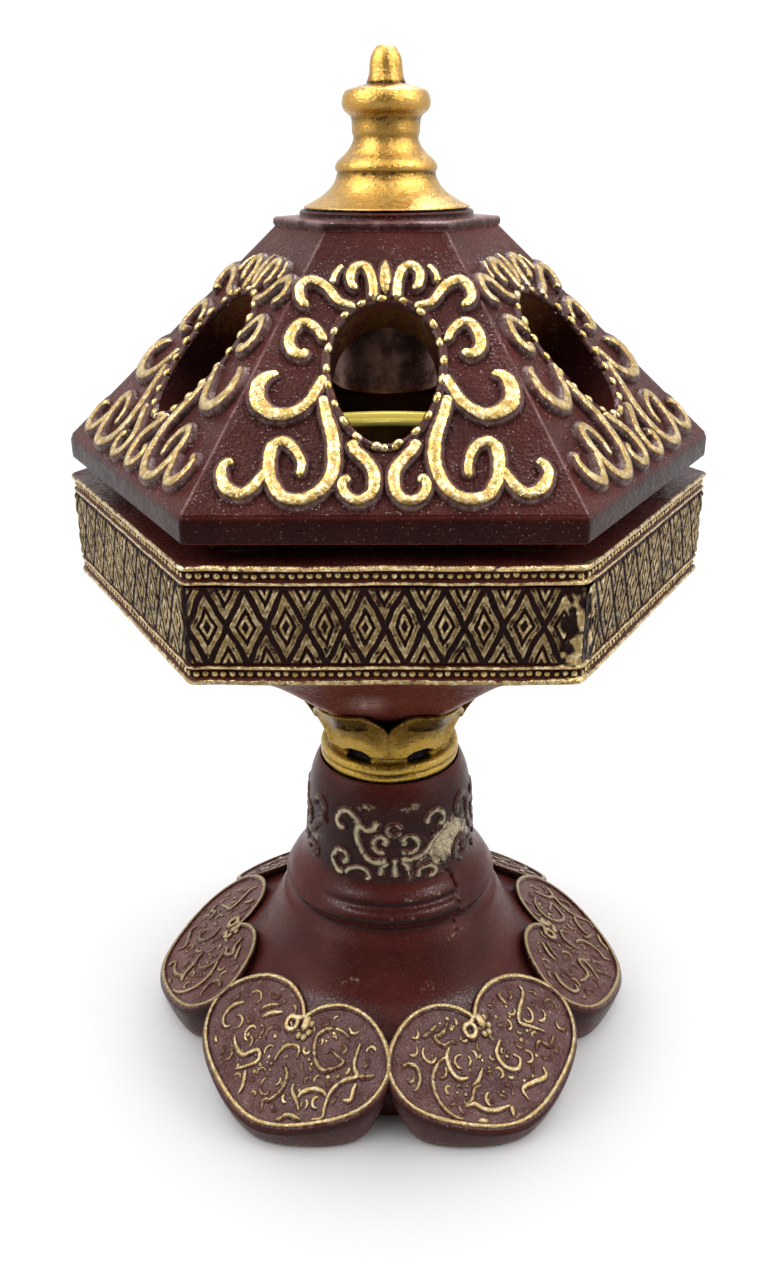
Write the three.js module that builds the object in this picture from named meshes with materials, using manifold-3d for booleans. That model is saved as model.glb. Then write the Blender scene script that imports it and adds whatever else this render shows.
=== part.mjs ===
// Charcoal incense burner: a hexagonal tray on a bell foot with six heart petals,
// a lift-out brass cup and a pierced pyramid lid under a turned finial.
// Millimetres, +Z up, origin on the floor under the middle, front towards -Y.

import * as THREE from 'three';
import { mergeVertices } from 'three/addons/utils/BufferGeometryUtils.js';
import Module from 'manifold-3d';

const wasm = await Module();
wasm.setup();

// Driving dimensions shared by the whole burner
const SIDES = 6;
const seatGap = 0.3;
const overrun = 2;
const roundSteps = 32;
const smallSteps = 12;

// Foot casting: turned column, two ring steps and the bell skirt
const padProud = 0.8;
const columnTop = 62.9;
const columnTopRadius = 16.5;
const shoulderDrop = 4.9;
const shoulderRadius = 18.1;
const columnWaistDrop = 16.4;
const columnWaistRadius = 18.7;
const upperRingDrop = 20.9;
const upperRingRadius = 21.6;
const ringSpacing = 4.1;
const lowerRingRadius = 23.9;
const ringHeight = 2.6;
const ringGroove = 0.8;
const skirtFootRadius = 39.2;
const skirtHollow = 2.4;
const webRadius = 43.5;
const webTopZ = 14.4;
const webThickness = 4.5;
const webFootRadius = 41.4;
const footWall = 6;
const hollowRoofDrop = 24.9;
const hollowRoofRadius = 12;
const spigotRadius = 10.9;
const spigotHeight = 5;

// Six heart petals on the skirt: distances from the middle, measured outwards
const petalSetOut = 0.3;
const petalNotchRadius = 35.6;
const petalTipRadius = 56.4;
const petalGap = 1;
const petalWidestShare = 0.43;
const petalLobeZ = 20.3;
const petalTipZ = 4.2;
const petalCrown = 1.5;
const petalUndercutShare = 0.3;
const petalEdgeRound = 0.5;
const heartSteps = 18;

// Gilded relief on the petals
const rimWidth = 1.7;
const rimHeight = 0.7;
const curlRadius = 1.9;
const curlSpreadShare = 0.8;
const curlSteps = 6;

// Felt pads under the petals
const padRadius = 6;
const padThickness = 1.6;
const padPlaceRadius = 45;

// Tie rod that draws foot, collar and tray together
const rodRadius = 3;
const nutHeight = 5;
const nutRadius = 5.8;
const washerRadius = 9;
const washerThickness = 1.6;
const rodEnd = 2;

// Leaf collar between the column and the tray
const collarWall = 1.4;
const collarFootRadius = 14.8;
const collarGroove = 0.6;
const collarBeadHeight = 1.9;
const collarBulgeRadius = 15.2;
const collarBulgeRise = 10;
const collarNeckRadius = 14.3;
const collarNeckRise = 12.4;
const leafNotchRadius = 18.5;
const leafNotchRise = 17.1;
const leafTipRadius = 23.6;
const leafTipRise = 20.6;
const leafHollow = 0.9;
const collarSteps = 36;

// Hexagonal tray: corner radii and heights
const trayCornerRadius = 64;
const trayHeight = 53.7;
const bandHeight = 20.6;
const mouldingHeight = 3.5;
const mouldingDepth = 1.8;
const mouldingGroove = 0.5;
const cornerCutShare = 0.014;
const kerbHeight = 1.4;
const wellDepth = 30;
const wellFillet = 6;
const traySeatLand = 1.3;
const traySeatRise = 13.1;
// Underside of the tray: corner radius and drop below the band, as shares
const undersideShares = [
  [0.046, 0.91], [0.149, 0.789], [0.34, 0.559], [0.542, 0.32], [0.73, 0.145], [0.865, 0.045], [0.952, 0.01],
];

// Diamond frieze panels let into the tray's six sides
const friezeThickness = 0.7;
const friezeRelief = 0.5;
const friezeDiamonds = 10;
// Nested ridges of a diamond: how far out, as shares, and whether the step stands high
const nestedShares = [[0.75, true], [0.5, false]];

// Lift-out brass charcoal cup
const cupRimInset = 4;
const cupBearing = 3.4;
const cupClearance = 1.2;
const cupTaper = 2.4;
const cupFloorClearance = 2.9;
const cupWall = 1;
const cupFillet = 2.6;
const cupRollRadius = 1.1;
const rollSteps = 5;

// Pierced lid: a hexagonal pyramid shell
const lidLift = 3.2;
const lidReveal = 0.9;
const lidPlay = 0.85;
const fasciaHeight = 4.5;
const lidSlopeRise = 38.9;
const lidTopCornerRadius = 20.7;
const lidTopHeight = 1.6;
const lidWall = 3.6;
const lidRoofThickness = 4;
const lipInset = 6.4;
const lipWall = 3;
const capDiscRadius = 15.9;
const capDiscHeight = 1.2;
const bossRadius = 11;
const bossDrop = 18;
const bossSkirt = 8.6;
const bossRecessRadius = 7.2;
const windowMargin = 12.75;
const windowHeadroom = 26.7;
const windowCentreShare = 0.484;
const windowNarrowingShare = 0.1;
const windowSteps = 20;

// Gilded scrollwork round each window
const scrollHeight = 1.3;
const beadWidth = 2.1;
const beadNeckWidth = 0.9;
const beadCount = 15;
const scrollGap = 0.3;
const fineStrand = 1.7;
const fullStrand = 2.1;
const boldStrand = 2.7;

// Turned finial and the stud that holds it
const finialBaseRadius = 15.1;
const finialHeight = 26.65;
const studRadius = 2.5;
const studDepth = 9;
const studWasherRadius = 6;
const studNutRadius = 4.6;
const studNutHeight = 4;
const finialSteps = 20;

// Sizes that follow from the ones above
const sideAngle = (2 * Math.PI) / SIDES;
const apothemShare = Math.cos(sideAngle / 2);
const footBaseZ = padProud;
const upperRingZ = columnTop - upperRingDrop;
const lowerRingZ = upperRingZ - ringSpacing;
const hollowRoofZ = columnTop - hollowRoofDrop;
const skirtTopRadius = lowerRingRadius - ringGroove;
const skirtTopZ = lowerRingZ - ringHeight / 2 - ringGroove;
const lobeRiseShare = (petalLobeZ - footBaseZ) / (skirtTopZ - footBaseZ);
const petalLobeRadius = petalSetOut + skirtFootRadius - (skirtFootRadius - skirtTopRadius) * lobeRiseShare;
const petalSlope = Math.atan2(petalLobeZ - petalTipZ, petalTipRadius - petalLobeRadius);
const petalWidestRadius = petalLobeRadius + (petalTipRadius - petalLobeRadius) * petalWidestShare;
const petalHalfWidth = petalWidestRadius * Math.tan(sideAngle / 2) - petalGap;
const traySeatRadius = spigotRadius + traySeatLand;
const collarBaseZ = columnTop + seatGap;
const traySeatZ = collarBaseZ + traySeatRise;
const trayTopZ = traySeatZ + trayHeight;
const trayBaseZ = trayTopZ - bandHeight;
const kerbTopZ = trayTopZ + kerbHeight;
const wellFloorZ = trayTopZ - wellDepth;
const rodTopZ = wellFloorZ + seatGap + nutHeight + rodEnd;
const boreRadius = rodRadius + seatGap;
const fieldCornerRadius = trayCornerRadius - mouldingDepth;
const fieldBaseZ = trayBaseZ + mouldingHeight;
const fieldTopZ = trayTopZ - mouldingHeight;
const lidCornerRadius = trayCornerRadius - lidReveal;
const lipInnerApothem = lidCornerRadius * apothemShare - lipInset - lipWall;
const kerbOuterRadius = lipInnerApothem - lidPlay;
const cupRimRadius = kerbOuterRadius - cupRimInset;
const wellRadius = cupRimRadius - cupBearing;
const cupTopRadius = wellRadius - cupClearance;
const cupFootRadius = cupTopRadius - cupTaper;
const lidBaseZ = trayTopZ + lidLift;
const eavesZ = lidBaseZ + fasciaHeight;
const slopeTopZ = eavesZ + lidSlopeRise;
const lidTopZ = slopeTopZ + lidTopHeight;
const roofZ = slopeTopZ + lidTopHeight - lidRoofThickness;
const bossSeatZ = roofZ - bossDrop;
const bossBaseZ = bossSeatZ - bossSkirt;
const lidRun = (lidCornerRadius - lidTopCornerRadius) * apothemShare;
const slopeAngle = Math.atan2(lidSlopeRise, lidRun);
const slantLength = Math.hypot(lidSlopeRise, lidRun);
const eavesHalfWidth = lidCornerRadius * Math.sin(sideAngle / 2);
const roofHalfWidth = lidTopCornerRadius * Math.sin(sideAngle / 2);
const windowHalfWidth = (eavesHalfWidth + roofHalfWidth) / 2 - windowMargin;
const windowLength = slantLength - windowHeadroom;
const lidInsetX = lidWall / Math.sin(slopeAngle) / apothemShare;
const finialBaseZ = lidTopZ + capDiscHeight + seatGap;

// Solids: a closed geometry becomes a solid, and back
function toSolid(geometry) {
  const bare = geometry.clone();
  bare.deleteAttribute('normal');
  bare.deleteAttribute('uv');
  const merged = mergeVertices(bare);
  const index = merged.index.array;
  const kept = [];
  for (let i = 0; i < index.length; i += 3) {
    const [a, b, c] = [index[i], index[i + 1], index[i + 2]];
    if (a !== b && b !== c && c !== a) kept.push(a, b, c);
  }
  const vertProperties = new Float32Array(merged.attributes.position.array);
  const triVerts = new Uint32Array(kept);
  return new wasm.Manifold(new wasm.Mesh({ numProp: 3, vertProperties, triVerts }));
}

function toGeometry(solid) {
  const mesh = solid.getMesh();
  const geometry = new THREE.BufferGeometry();
  geometry.setAttribute('position', new THREE.BufferAttribute(new Float32Array(mesh.vertProperties), 3));
  geometry.setIndex(new THREE.BufferAttribute(new Uint32Array(mesh.triVerts), 1));
  geometry.computeVertexNormals();
  return geometry;
}

function joined(geometries) {
  return geometries.map(toSolid).reduce((whole, piece) => whole.add(piece));
}

function cutBy(solid, geometries) {
  return geometries.map(toSolid).reduce((whole, cutter) => whole.subtract(cutter), solid);
}

// Turned shapes: a profile of [radius, height] pairs, outer side upwards
function turned(profile, steps) {
  const points = profile.map(([radius, height]) => new THREE.Vector2(radius, height));
  return new THREE.LatheGeometry(points, steps).rotateX(Math.PI / 2);
}

function rod(radius, low, high, steps) {
  return turned([[0, low], [radius, low], [radius, high], [0, high]], steps);
}

function ring(inner, outer, low, high, steps) {
  return turned([[inner, low], [outer, low], [outer, high], [inner, high], [inner, low]], steps);
}

// A skin through rings of points, closed by a fan at each end
function loft(rings, startCentre, endCentre) {
  const count = rings[0].length;
  const points = rings.flat().concat([startCentre, endCentre]);
  const faces = [];
  for (let row = 0; row + 1 < rings.length; row += 1) {
    for (let i = 0; i < count; i += 1) {
      const next = (i + 1) % count;
      const a = row * count + i;
      const b = row * count + next;
      faces.push(a, b, b + count, a, b + count, a + count);
    }
  }
  const last = (rings.length - 1) * count;
  for (let i = 0; i < count; i += 1) {
    const next = (i + 1) % count;
    faces.push(points.length - 2, next, i);
    faces.push(points.length - 1, last + i, last + next);
  }
  const geometry = new THREE.BufferGeometry().setFromPoints(points);
  geometry.setIndex(faces);
  return geometry;
}

// A closed loop of profile points that changes with the angle round the axis
function turnedByAngle(profileAt, steps) {
  const loops = [];
  for (let i = 0; i < steps; i += 1) {
    const angle = (2 * Math.PI * i) / steps;
    const place = ([radius, height]) =>
      new THREE.Vector3(radius * Math.cos(angle), radius * Math.sin(angle), height);
    loops.push(profileAt(angle).map(place));
  }
  const count = loops[0].length;
  const faces = [];
  for (let i = 0; i < steps; i += 1) {
    for (let j = 0; j < count; j += 1) {
      const a = i * count + j;
      const b = ((i + 1) % steps) * count + j;
      const c = ((i + 1) % steps) * count + ((j + 1) % count);
      const d = i * count + ((j + 1) % count);
      faces.push(a, b, c, a, c, d);
    }
  }
  const geometry = new THREE.BufferGeometry().setFromPoints(loops.flat());
  geometry.setIndex(faces);
  return geometry;
}

// Hexagon rings with slightly cut corners, corners on the +X and -X sides
function hexRing(cornerRadius, z) {
  const side = cornerRadius;
  const cut = cornerRadius * cornerCutShare;
  const ringPoints = [];
  for (let k = 0; k < SIDES; k += 1) {
    const corner = k * sideAngle;
    const back = corner - sideAngle / 2 - Math.PI / 2;
    for (const turn of [back, back + Math.PI + sideAngle]) {
      const x = side * Math.cos(corner) + cut * Math.cos(turn);
      const y = side * Math.sin(corner) + cut * Math.sin(turn);
      ringPoints.push(new THREE.Vector3(x, y, z));
    }
  }
  return ringPoints;
}

function hexLoft(rows) {
  const rings = rows.map(([cornerRadius, z]) => hexRing(cornerRadius, z));
  const low = new THREE.Vector3(0, 0, rows[0][1]);
  const high = new THREE.Vector3(0, 0, rows[rows.length - 1][1]);
  return loft(rings, low, high);
}

// Relief ridges: three points a section, foot to crest to foot, along a flat path
function ridge(sections, closed) {
  const width = sections[0].length;
  const spans = closed ? sections.length : sections.length - 1;
  const faces = [];
  for (let i = 0; i < spans; i += 1) {
    const here = i * width;
    const ahead = ((i + 1) % sections.length) * width;
    for (let j = 0; j < width; j += 1) {
      const next = (j + 1) % width;
      faces.push(here + j, here + next, ahead + next, here + j, ahead + next, ahead + j);
    }
  }
  if (!closed) {
    const last = spans * width;
    faces.push(2, 1, 0, last, last + 1, last + 2);
  }
  const geometry = new THREE.BufferGeometry().setFromPoints(sections.flat());
  geometry.setIndex(faces);
  return geometry;
}

// One section at (u, v), square to the direction (du, dv), laid on by place(u, v, lift)
function ridgeSection([u, v], [du, dv], width, height, place) {
  const scale = width / 2 / Math.hypot(du, dv);
  return [
    place(u - dv * scale, v + du * scale, 0),
    place(u, v, height),
    place(u + dv * scale, v - du * scale, 0),
  ];
}

function strand(path, steps, widthAt, height, place) {
  const curve = new THREE.CatmullRomCurve3(path.map(([u, v]) => new THREE.Vector3(u, v, 0)));
  const sections = [];
  for (let i = 0; i <= steps; i += 1) {
    const t = i / steps;
    const at = curve.getPointAt(t);
    const along = curve.getTangentAt(t);
    const low = i === 0 || i === steps ? 0.5 : 1;
    sections.push(ridgeSection([at.x, at.y], [along.x, along.y], widthAt(t), height * low, place));
  }
  return ridge(sections, false);
}

function closedStrand(centreAt, steps, widthAt, height, place) {
  const sections = [];
  for (let i = 0; i < steps; i += 1) {
    const ahead = centreAt((i + 0.5) / steps);
    const behind = centreAt((i - 0.5) / steps);
    const along = [ahead[0] - behind[0], ahead[1] - behind[1]];
    sections.push(ridgeSection(centreAt(i / steps), along, widthAt(i), height, place));
  }
  return ridge(sections, true);
}

// Heart outline of a petal: distance outwards and sideways, by a turn from 0 to 1
const heartHalfShares = [
  [0.195, 0], [0.09, 0.13], [0.02, 0.34], [0.03, 0.58], [0.13, 0.82], [0.27, 0.97],
  [0.43, 1], [0.59, 0.925], [0.745, 0.765], [0.88, 0.53], [0.97, 0.27], [1, 0],
];

function heartCurve() {
  const length = petalTipRadius - petalLobeRadius;
  const notchShare = (petalNotchRadius - petalLobeRadius) / length;
  const half = heartHalfShares.map(([out, side], i) => [i === 0 ? notchShare : out, side]);
  const mirrored = half.slice(1, -1).reverse();
  const points = half.map(([out, side]) => [out, -side]).concat(mirrored).map(([out, side]) =>
    new THREE.Vector3(petalLobeRadius + out * length, side * petalHalfWidth, 0));
  return new THREE.CatmullRomCurve3(points, true);
}

function petalHeight(out, side) {
  const crown = petalCrown * (1 - (side / petalHalfWidth) ** 2);
  return petalLobeZ - Math.tan(petalSlope) * (out - petalLobeRadius) + crown;
}

// Move a point of the outline towards the petal's middle by a distance
function towardsMiddle(point, distance) {
  const centre = (petalLobeRadius + petalTipRadius) / 2;
  const away = new THREE.Vector3(point.x - centre, point.y, 0);
  const scale = 1 - distance / away.length();
  return [centre + away.x * scale, away.y * scale];
}

// One petal, standing out along +X: heart outline, sloping top, walls drawn in at the floor
function petal() {
  const centre = (petalLobeRadius + petalTipRadius) / 2;
  const outline = heartCurve().getSpacedPoints(heartSteps).slice(0, heartSteps);
  const level = (inset, zAt) => outline.map((point) => {
    const rise = petalHeight(point.x, point.y) - footBaseZ;
    const [out, side] = towardsMiddle(point, inset(rise));
    return new THREE.Vector3(out, side, zAt(out, side, rise));
  });
  const crownRing = outline.map((point) => {
    const [out, side] = [(point.x + centre) / 2, point.y / 2];
    return new THREE.Vector3(out, side, petalHeight(out, side));
  });
  const rings = [
    level((rise) => rise * petalUndercutShare, () => footBaseZ),
    level((rise) => (rise * petalUndercutShare) / 3, (out, side, rise) => footBaseZ + rise / 2),
    level(() => 0, (out, side) => petalHeight(out, side) - petalEdgeRound),
    level(() => petalEdgeRound, petalHeight),
    crownRing,
  ];
  const low = new THREE.Vector3(centre, 0, footBaseZ);
  const high = new THREE.Vector3(centre, 0, petalHeight(centre, 0));
  return loft(rings, low, high);
}

// Foot: column, skirt and web turned, petals joined on, hollow underneath
function footProfile() {
  const halfRing = ringHeight / 2;
  const skirt = [
    [webFootRadius, footBaseZ],
    [webRadius, webTopZ - webThickness],
    [webRadius, webTopZ],
  ];
  const skirtRows = 3;
  for (let i = 0; i <= skirtRows; i += 1) {
    const t = lobeRiseShare + ((1 - lobeRiseShare) * i) / skirtRows;
    const radius = skirtFootRadius - (skirtFootRadius - skirtTopRadius) * t;
    const bow = skirtHollow * Math.sin(Math.PI * t);
    skirt.push([radius + bow * (0.5 - t), footBaseZ + (skirtTopZ - footBaseZ) * t + bow * 0.6]);
  }
  return [
    [0, footBaseZ],
    ...skirt,
    [lowerRingRadius, lowerRingZ - halfRing / 2],
    [lowerRingRadius, lowerRingZ],
    [lowerRingRadius - ringGroove, lowerRingZ + halfRing / 2],
    [upperRingRadius - ringGroove, lowerRingZ + halfRing],
    [upperRingRadius, upperRingZ - halfRing / 2],
    [upperRingRadius, upperRingZ],
    [upperRingRadius - ringGroove, upperRingZ + halfRing / 2],
    [columnWaistRadius, upperRingZ + ringHeight],
    [columnWaistRadius, columnTop - columnWaistDrop],
    [shoulderRadius, columnTop - shoulderDrop],
    [(shoulderRadius + columnTopRadius) / 2, columnTop - shoulderDrop / 3],
    [columnTopRadius, columnTop],
    [spigotRadius, columnTop],
    [spigotRadius, columnTop + spigotHeight],
    [0, columnTop + spigotHeight],
  ];
}

function footHollow() {
  return turned([
    [0, footBaseZ - overrun],
    [skirtFootRadius - footWall, footBaseZ - overrun],
    [skirtFootRadius - footWall, footBaseZ + footWall],
    [lowerRingRadius - footWall, skirtTopZ - footWall],
    [hollowRoofRadius, hollowRoofZ],
    [0, hollowRoofZ],
  ], roundSteps);
}

function footGeometry() {
  const petals = [];
  const pockets = [];
  const pocket = rod(padRadius + seatGap, footBaseZ - overrun, padThickness + seatGap, smallSteps);
  pocket.translate(padPlaceRadius, 0, 0);
  const onePetal = petal();
  for (let k = 0; k < SIDES; k += 1) {
    petals.push(onePetal.clone().rotateZ(k * sideAngle));
    pockets.push(pocket.clone().rotateZ(k * sideAngle));
  }
  const body = joined([turned(footProfile(), roundSteps), ...petals]);
  const bore = rod(boreRadius, footBaseZ, columnTop + spigotHeight + overrun, smallSteps);
  return toGeometry(cutBy(body, [footHollow(), bore, ...pockets]));
}

// Gilded rim of one petal with the two curls that close its notch
function petalRimGeometry() {
  const place = (out, side, lift) => new THREE.Vector3(out, side, petalHeight(out, side) + seatGap + lift);
  const curve = heartCurve();
  const rimAt = (t) => towardsMiddle(curve.getPointAt((t + 1) % 1), rimWidth / 2 + petalEdgeRound);
  const pieces = [closedStrand(rimAt, heartSteps, () => rimWidth, rimHeight, place)];
  for (const side of [-1, 1]) {
    const curl = new THREE.SphereGeometry(curlRadius, curlSteps, curlSteps - 2);
    curl.scale(1, 1, rimHeight / curlRadius).rotateY(petalSlope);
    const out = petalNotchRadius + rimWidth;
    const across = side * curlRadius * curlSpreadShare;
    pieces.push(curl.translate(out, across, petalHeight(out, across) + seatGap + rimHeight));
  }
  return toGeometry(joined(pieces));
}

// Leaf collar: two base beads, a bulge, a neck and six flaring leaves
function collarGeometry() {
  const bore = spigotRadius + seatGap;
  const seatRadius = traySeatRadius + seatGap;
  const profileAt = (angle) => {
    const leaf = Math.abs(Math.cos((SIDES * angle) / 2)) ** 0.5;
    const rib = leafHollow * Math.abs(Math.sin((SIDES * angle) / 2)) ** 2;
    const rimRadius = leafNotchRadius + (leafTipRadius - leafNotchRadius) * leaf;
    const rimRise = leafNotchRise + (leafTipRise - leafNotchRise) * leaf;
    const midRadius = (collarNeckRadius + rimRadius) / 2 - leafHollow;
    const midRise = (collarNeckRise + rimRise) / 2;
    const outer = [
      [collarFootRadius, 0],
      [collarFootRadius, collarBeadHeight - collarGroove],
      [collarFootRadius - collarGroove, collarBeadHeight],
      [collarFootRadius, collarBeadHeight + collarGroove],
      [collarFootRadius, 2 * collarBeadHeight],
      [collarFootRadius - collarGroove, 2 * collarBeadHeight + collarGroove],
      [collarBulgeRadius - collarGroove - rib / 2, (2 * collarBeadHeight + collarBulgeRise) / 2],
      [collarBulgeRadius - rib, collarBulgeRise],
      [collarNeckRadius - rib / 2, collarNeckRise],
      [midRadius, midRise],
      [rimRadius, rimRise],
    ];
    const inner = [
      [rimRadius - collarWall, rimRise],
      [Math.max(midRadius - collarWall, seatRadius), midRise + collarWall / 2],
      [seatRadius, traySeatRise - seatGap],
      [bore, traySeatRise - seatGap],
      [bore, 0],
    ];
    return outer.concat(inner).map(([radius, rise]) => [radius, collarBaseZ + rise]);
  };
  return toGeometry(toSolid(turnedByAngle(profileAt, collarSteps)));
}

// Tray: band with two mouldings over a curved hexagonal underside, kerb and well
function trayGeometry() {
  const drop = trayBaseZ - traySeatZ;
  const underside = undersideShares.map(([out, down]) => [
    traySeatRadius + out * (trayCornerRadius - traySeatRadius),
    trayBaseZ - down * drop,
  ]);
  const third = mouldingHeight / 3;
  const moulding = (low) => [
    [trayCornerRadius, low],
    [trayCornerRadius, low + third / 2],
    [trayCornerRadius - mouldingGroove, low + third],
    [trayCornerRadius - mouldingGroove, low + 2 * third],
    [trayCornerRadius, low + mouldingHeight - third / 2],
    [trayCornerRadius, low + mouldingHeight],
  ];
  const body = hexLoft([
    [traySeatRadius, traySeatZ],
    ...underside,
    ...moulding(trayBaseZ),
    [fieldCornerRadius, fieldBaseZ],
    [fieldCornerRadius, fieldTopZ],
    ...moulding(fieldTopZ),
  ]);
  const stub = rod(spigotRadius, columnTop + spigotHeight + rodEnd / 2, trayBaseZ, roundSteps);
  const kerb = rod(kerbOuterRadius, trayBaseZ, kerbTopZ, roundSteps);
  const well = turned([
    [0, wellFloorZ],
    [wellRadius - wellFillet, wellFloorZ],
    [wellRadius, wellFloorZ + wellFillet],
    [wellRadius, kerbTopZ + overrun],
    [0, kerbTopZ + overrun],
  ], roundSteps);
  const bore = rod(boreRadius, columnTop, trayTopZ, smallSteps);
  return toGeometry(cutBy(joined([body, stub, kerb]), [well, bore]));
}

// One frieze panel, lying in X and Y with its relief towards +Z and its ends mitred
function friezeGeometry() {
  const backWidth = fieldCornerRadius - 2 * fieldCornerRadius * cornerCutShare;
  const width = backWidth + 2 * friezeThickness * Math.tan(sideAngle / 2);
  const height = fieldTopZ - fieldBaseZ - 2 * seatGap;
  const pitch = width / friezeDiamonds;
  const top = height / 2;
  const points = [];
  const faces = [];
  const add = (x, y, z) => points.push(new THREE.Vector3(x, y, z)) - 1;
  const nest = (corners, x, y) => {
    let outer = corners;
    for (const [share, high] of nestedShares) {
      const z = friezeThickness + (high ? friezeRelief : 0);
      const inner = corners.map((corner) =>
        add(x + (points[corner].x - x) * share, y + (points[corner].y - y) * share, z));
      outer.forEach((corner, i) => {
        const next = (i + 1) % outer.length;
        faces.push(corner, outer[next], inner[next], corner, inner[next], inner[i]);
      });
      outer = inner;
    }
    const peak = add(x, y, friezeThickness + friezeRelief);
    outer.forEach((corner, i) => faces.push(corner, outer[(i + 1) % outer.length], peak));
  };
  const edge = (x, y) => add(x, y, friezeThickness);
  const waists = [];
  for (let i = 0; i <= friezeDiamonds; i += 1) waists.push(edge(i * pitch - width / 2, 0));
  const tips = (y) => {
    const row = [edge(-width / 2, y)];
    for (let i = 0; i < friezeDiamonds; i += 1) row.push(edge((i + 0.5) * pitch - width / 2, y));
    row.push(edge(width / 2, y));
    return row;
  };
  const upper = tips(top);
  const lower = tips(-top);
  for (let i = 0; i < friezeDiamonds; i += 1) {
    const x = (i + 0.5) * pitch - width / 2;
    nest([waists[i], lower[i + 1], waists[i + 1], upper[i + 1]], x, 0);
  }
  for (let i = 0; i <= friezeDiamonds; i += 1) {
    const x = i * pitch - width / 2;
    const shift = i === 0 ? pitch / 6 : i === friezeDiamonds ? -pitch / 6 : 0;
    nest([waists[i], upper[i + 1], upper[i]], x + shift, (top * 2) / 3);
    nest([waists[i], lower[i], lower[i + 1]], x + shift, (-top * 2) / 3);
  }
  const loop = [...lower, waists[friezeDiamonds], ...upper.slice().reverse(), waists[0]];
  const back = loop.map((corner) => add((points[corner].x * backWidth) / width, points[corner].y, 0));
  const middle = add(0, 0, 0);
  loop.forEach((corner, i) => {
    const next = (i + 1) % loop.length;
    faces.push(corner, back[i], back[next], corner, back[next], loop[next]);
    faces.push(back[next], back[i], middle);
  });
  const geometry = new THREE.BufferGeometry().setFromPoints(points);
  geometry.setIndex(faces);
  return toGeometry(toSolid(geometry));
}

// Brass cup: tapered wall, flat flange and a rolled rim
function cupGeometry() {
  const flangeZ = kerbTopZ + seatGap;
  const floorZ = rodTopZ + cupFloorClearance;
  const rollCentre = cupRimRadius - cupRollRadius;
  const roll = [];
  for (let i = 0; i <= rollSteps; i += 1) {
    const angle = -Math.PI / 2 + (Math.PI * 1.35 * i) / rollSteps;
    roll.push([
      rollCentre + cupRollRadius * Math.cos(angle),
      flangeZ + cupRollRadius + cupRollRadius * Math.sin(angle),
    ]);
  }
  const profile = [
    [0, floorZ],
    [cupFootRadius - cupFillet, floorZ],
    [cupFootRadius, floorZ + cupFillet],
    [cupTopRadius, flangeZ],
    ...roll,
    [cupTopRadius + cupWall, flangeZ + cupWall],
    [cupTopRadius - cupWall, flangeZ - cupWall / 2],
    [cupFootRadius - cupWall, floorZ + cupFillet + cupWall / 2],
    [cupFootRadius - cupFillet - cupWall / 2, floorZ + cupWall],
    [0, floorZ + cupWall],
  ];
  return toGeometry(toSolid(turned(profile, roundSteps)));
}

// Egg-shaped window outline on a lid face, narrower towards the eaves
function windowPoint(t, grow) {
  const angle = 2 * Math.PI * t;
  const narrowing = 1 + windowNarrowingShare * Math.sin(angle);
  const across = (windowHalfWidth + grow) * Math.cos(angle) * narrowing;
  const along = (windowLength / 2 + grow) * Math.sin(angle);
  return [across, windowCentreShare * slantLength + along];
}

function windowCutter() {
  const outline = [];
  for (let i = 0; i < windowSteps; i += 1) {
    outline.push(new THREE.Vector2(...windowPoint(i / windowSteps, 0)));
  }
  const depth = lidWall * 3;
  return new THREE.ExtrudeGeometry(new THREE.Shape(outline), { depth, bevelEnabled: false, steps: 1 })
    .translate(0, 0, lidWall - depth);
}

// Turn a shape that lies on a lid face into its place on side k
function onLidFace(geometry, k) {
  const placed = geometry.clone().rotateX(slopeAngle);
  placed.translate(0, -lidCornerRadius * apothemShare, eavesZ);
  return placed.rotateZ(k * sideAngle);
}

// Lid: pyramid shell with fascia, roof plate, seating lip, boss and six windows
function lidGeometry() {
  const outside = hexLoft([
    [lidCornerRadius, lidBaseZ],
    [lidCornerRadius, eavesZ],
    [lidTopCornerRadius, slopeTopZ],
    [lidTopCornerRadius, lidTopZ],
  ]);
  const innerEaves = lidCornerRadius - lidInsetX;
  const innerSlope = (z) =>
    innerEaves - ((z - eavesZ) * (lidCornerRadius - lidTopCornerRadius)) / lidSlopeRise;
  const inside = hexLoft([
    [innerEaves, lidBaseZ - overrun],
    [innerEaves, eavesZ],
    [innerSlope(roofZ), roofZ],
  ]);
  const shelf = hexLoft([
    [lidCornerRadius - lidWall / 2, lidBaseZ],
    [lidCornerRadius - lidWall / 2, eavesZ - fasciaHeight / 3],
  ]);
  const lipOuter = lidCornerRadius - lipInset / apothemShare;
  const lipInner = lipOuter - lipWall / apothemShare;
  const lip = hexLoft([
    [lipOuter, trayTopZ + seatGap],
    [lipOuter, eavesZ - fasciaHeight / 3],
  ]);
  const mouth = hexLoft([
    [lipInner, trayTopZ - overrun],
    [lipInner, eavesZ],
  ]);
  const disc = rod(capDiscRadius, slopeTopZ, lidTopZ + capDiscHeight, roundSteps);
  const boss = rod(bossRadius, bossBaseZ, slopeTopZ, roundSteps / 2);
  const shell = toSolid(outside).subtract(toSolid(inside));
  const rimmed = shell.add(joined([shelf, lip]).subtract(toSolid(mouth)));
  const whole = rimmed.add(joined([disc, boss]));
  const windows = [];
  for (let k = 0; k < SIDES; k += 1) windows.push(onLidFace(windowCutter(), k));
  const boreTopZ = lidTopZ + capDiscHeight + overrun;
  const bore = rod(studRadius + seatGap, bossBaseZ - overrun, boreTopZ, smallSteps);
  const recess = rod(bossRecessRadius, bossBaseZ - overrun, bossSeatZ, smallSteps);
  return toGeometry(cutBy(whole, [...windows, bore, recess]));
}

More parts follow.
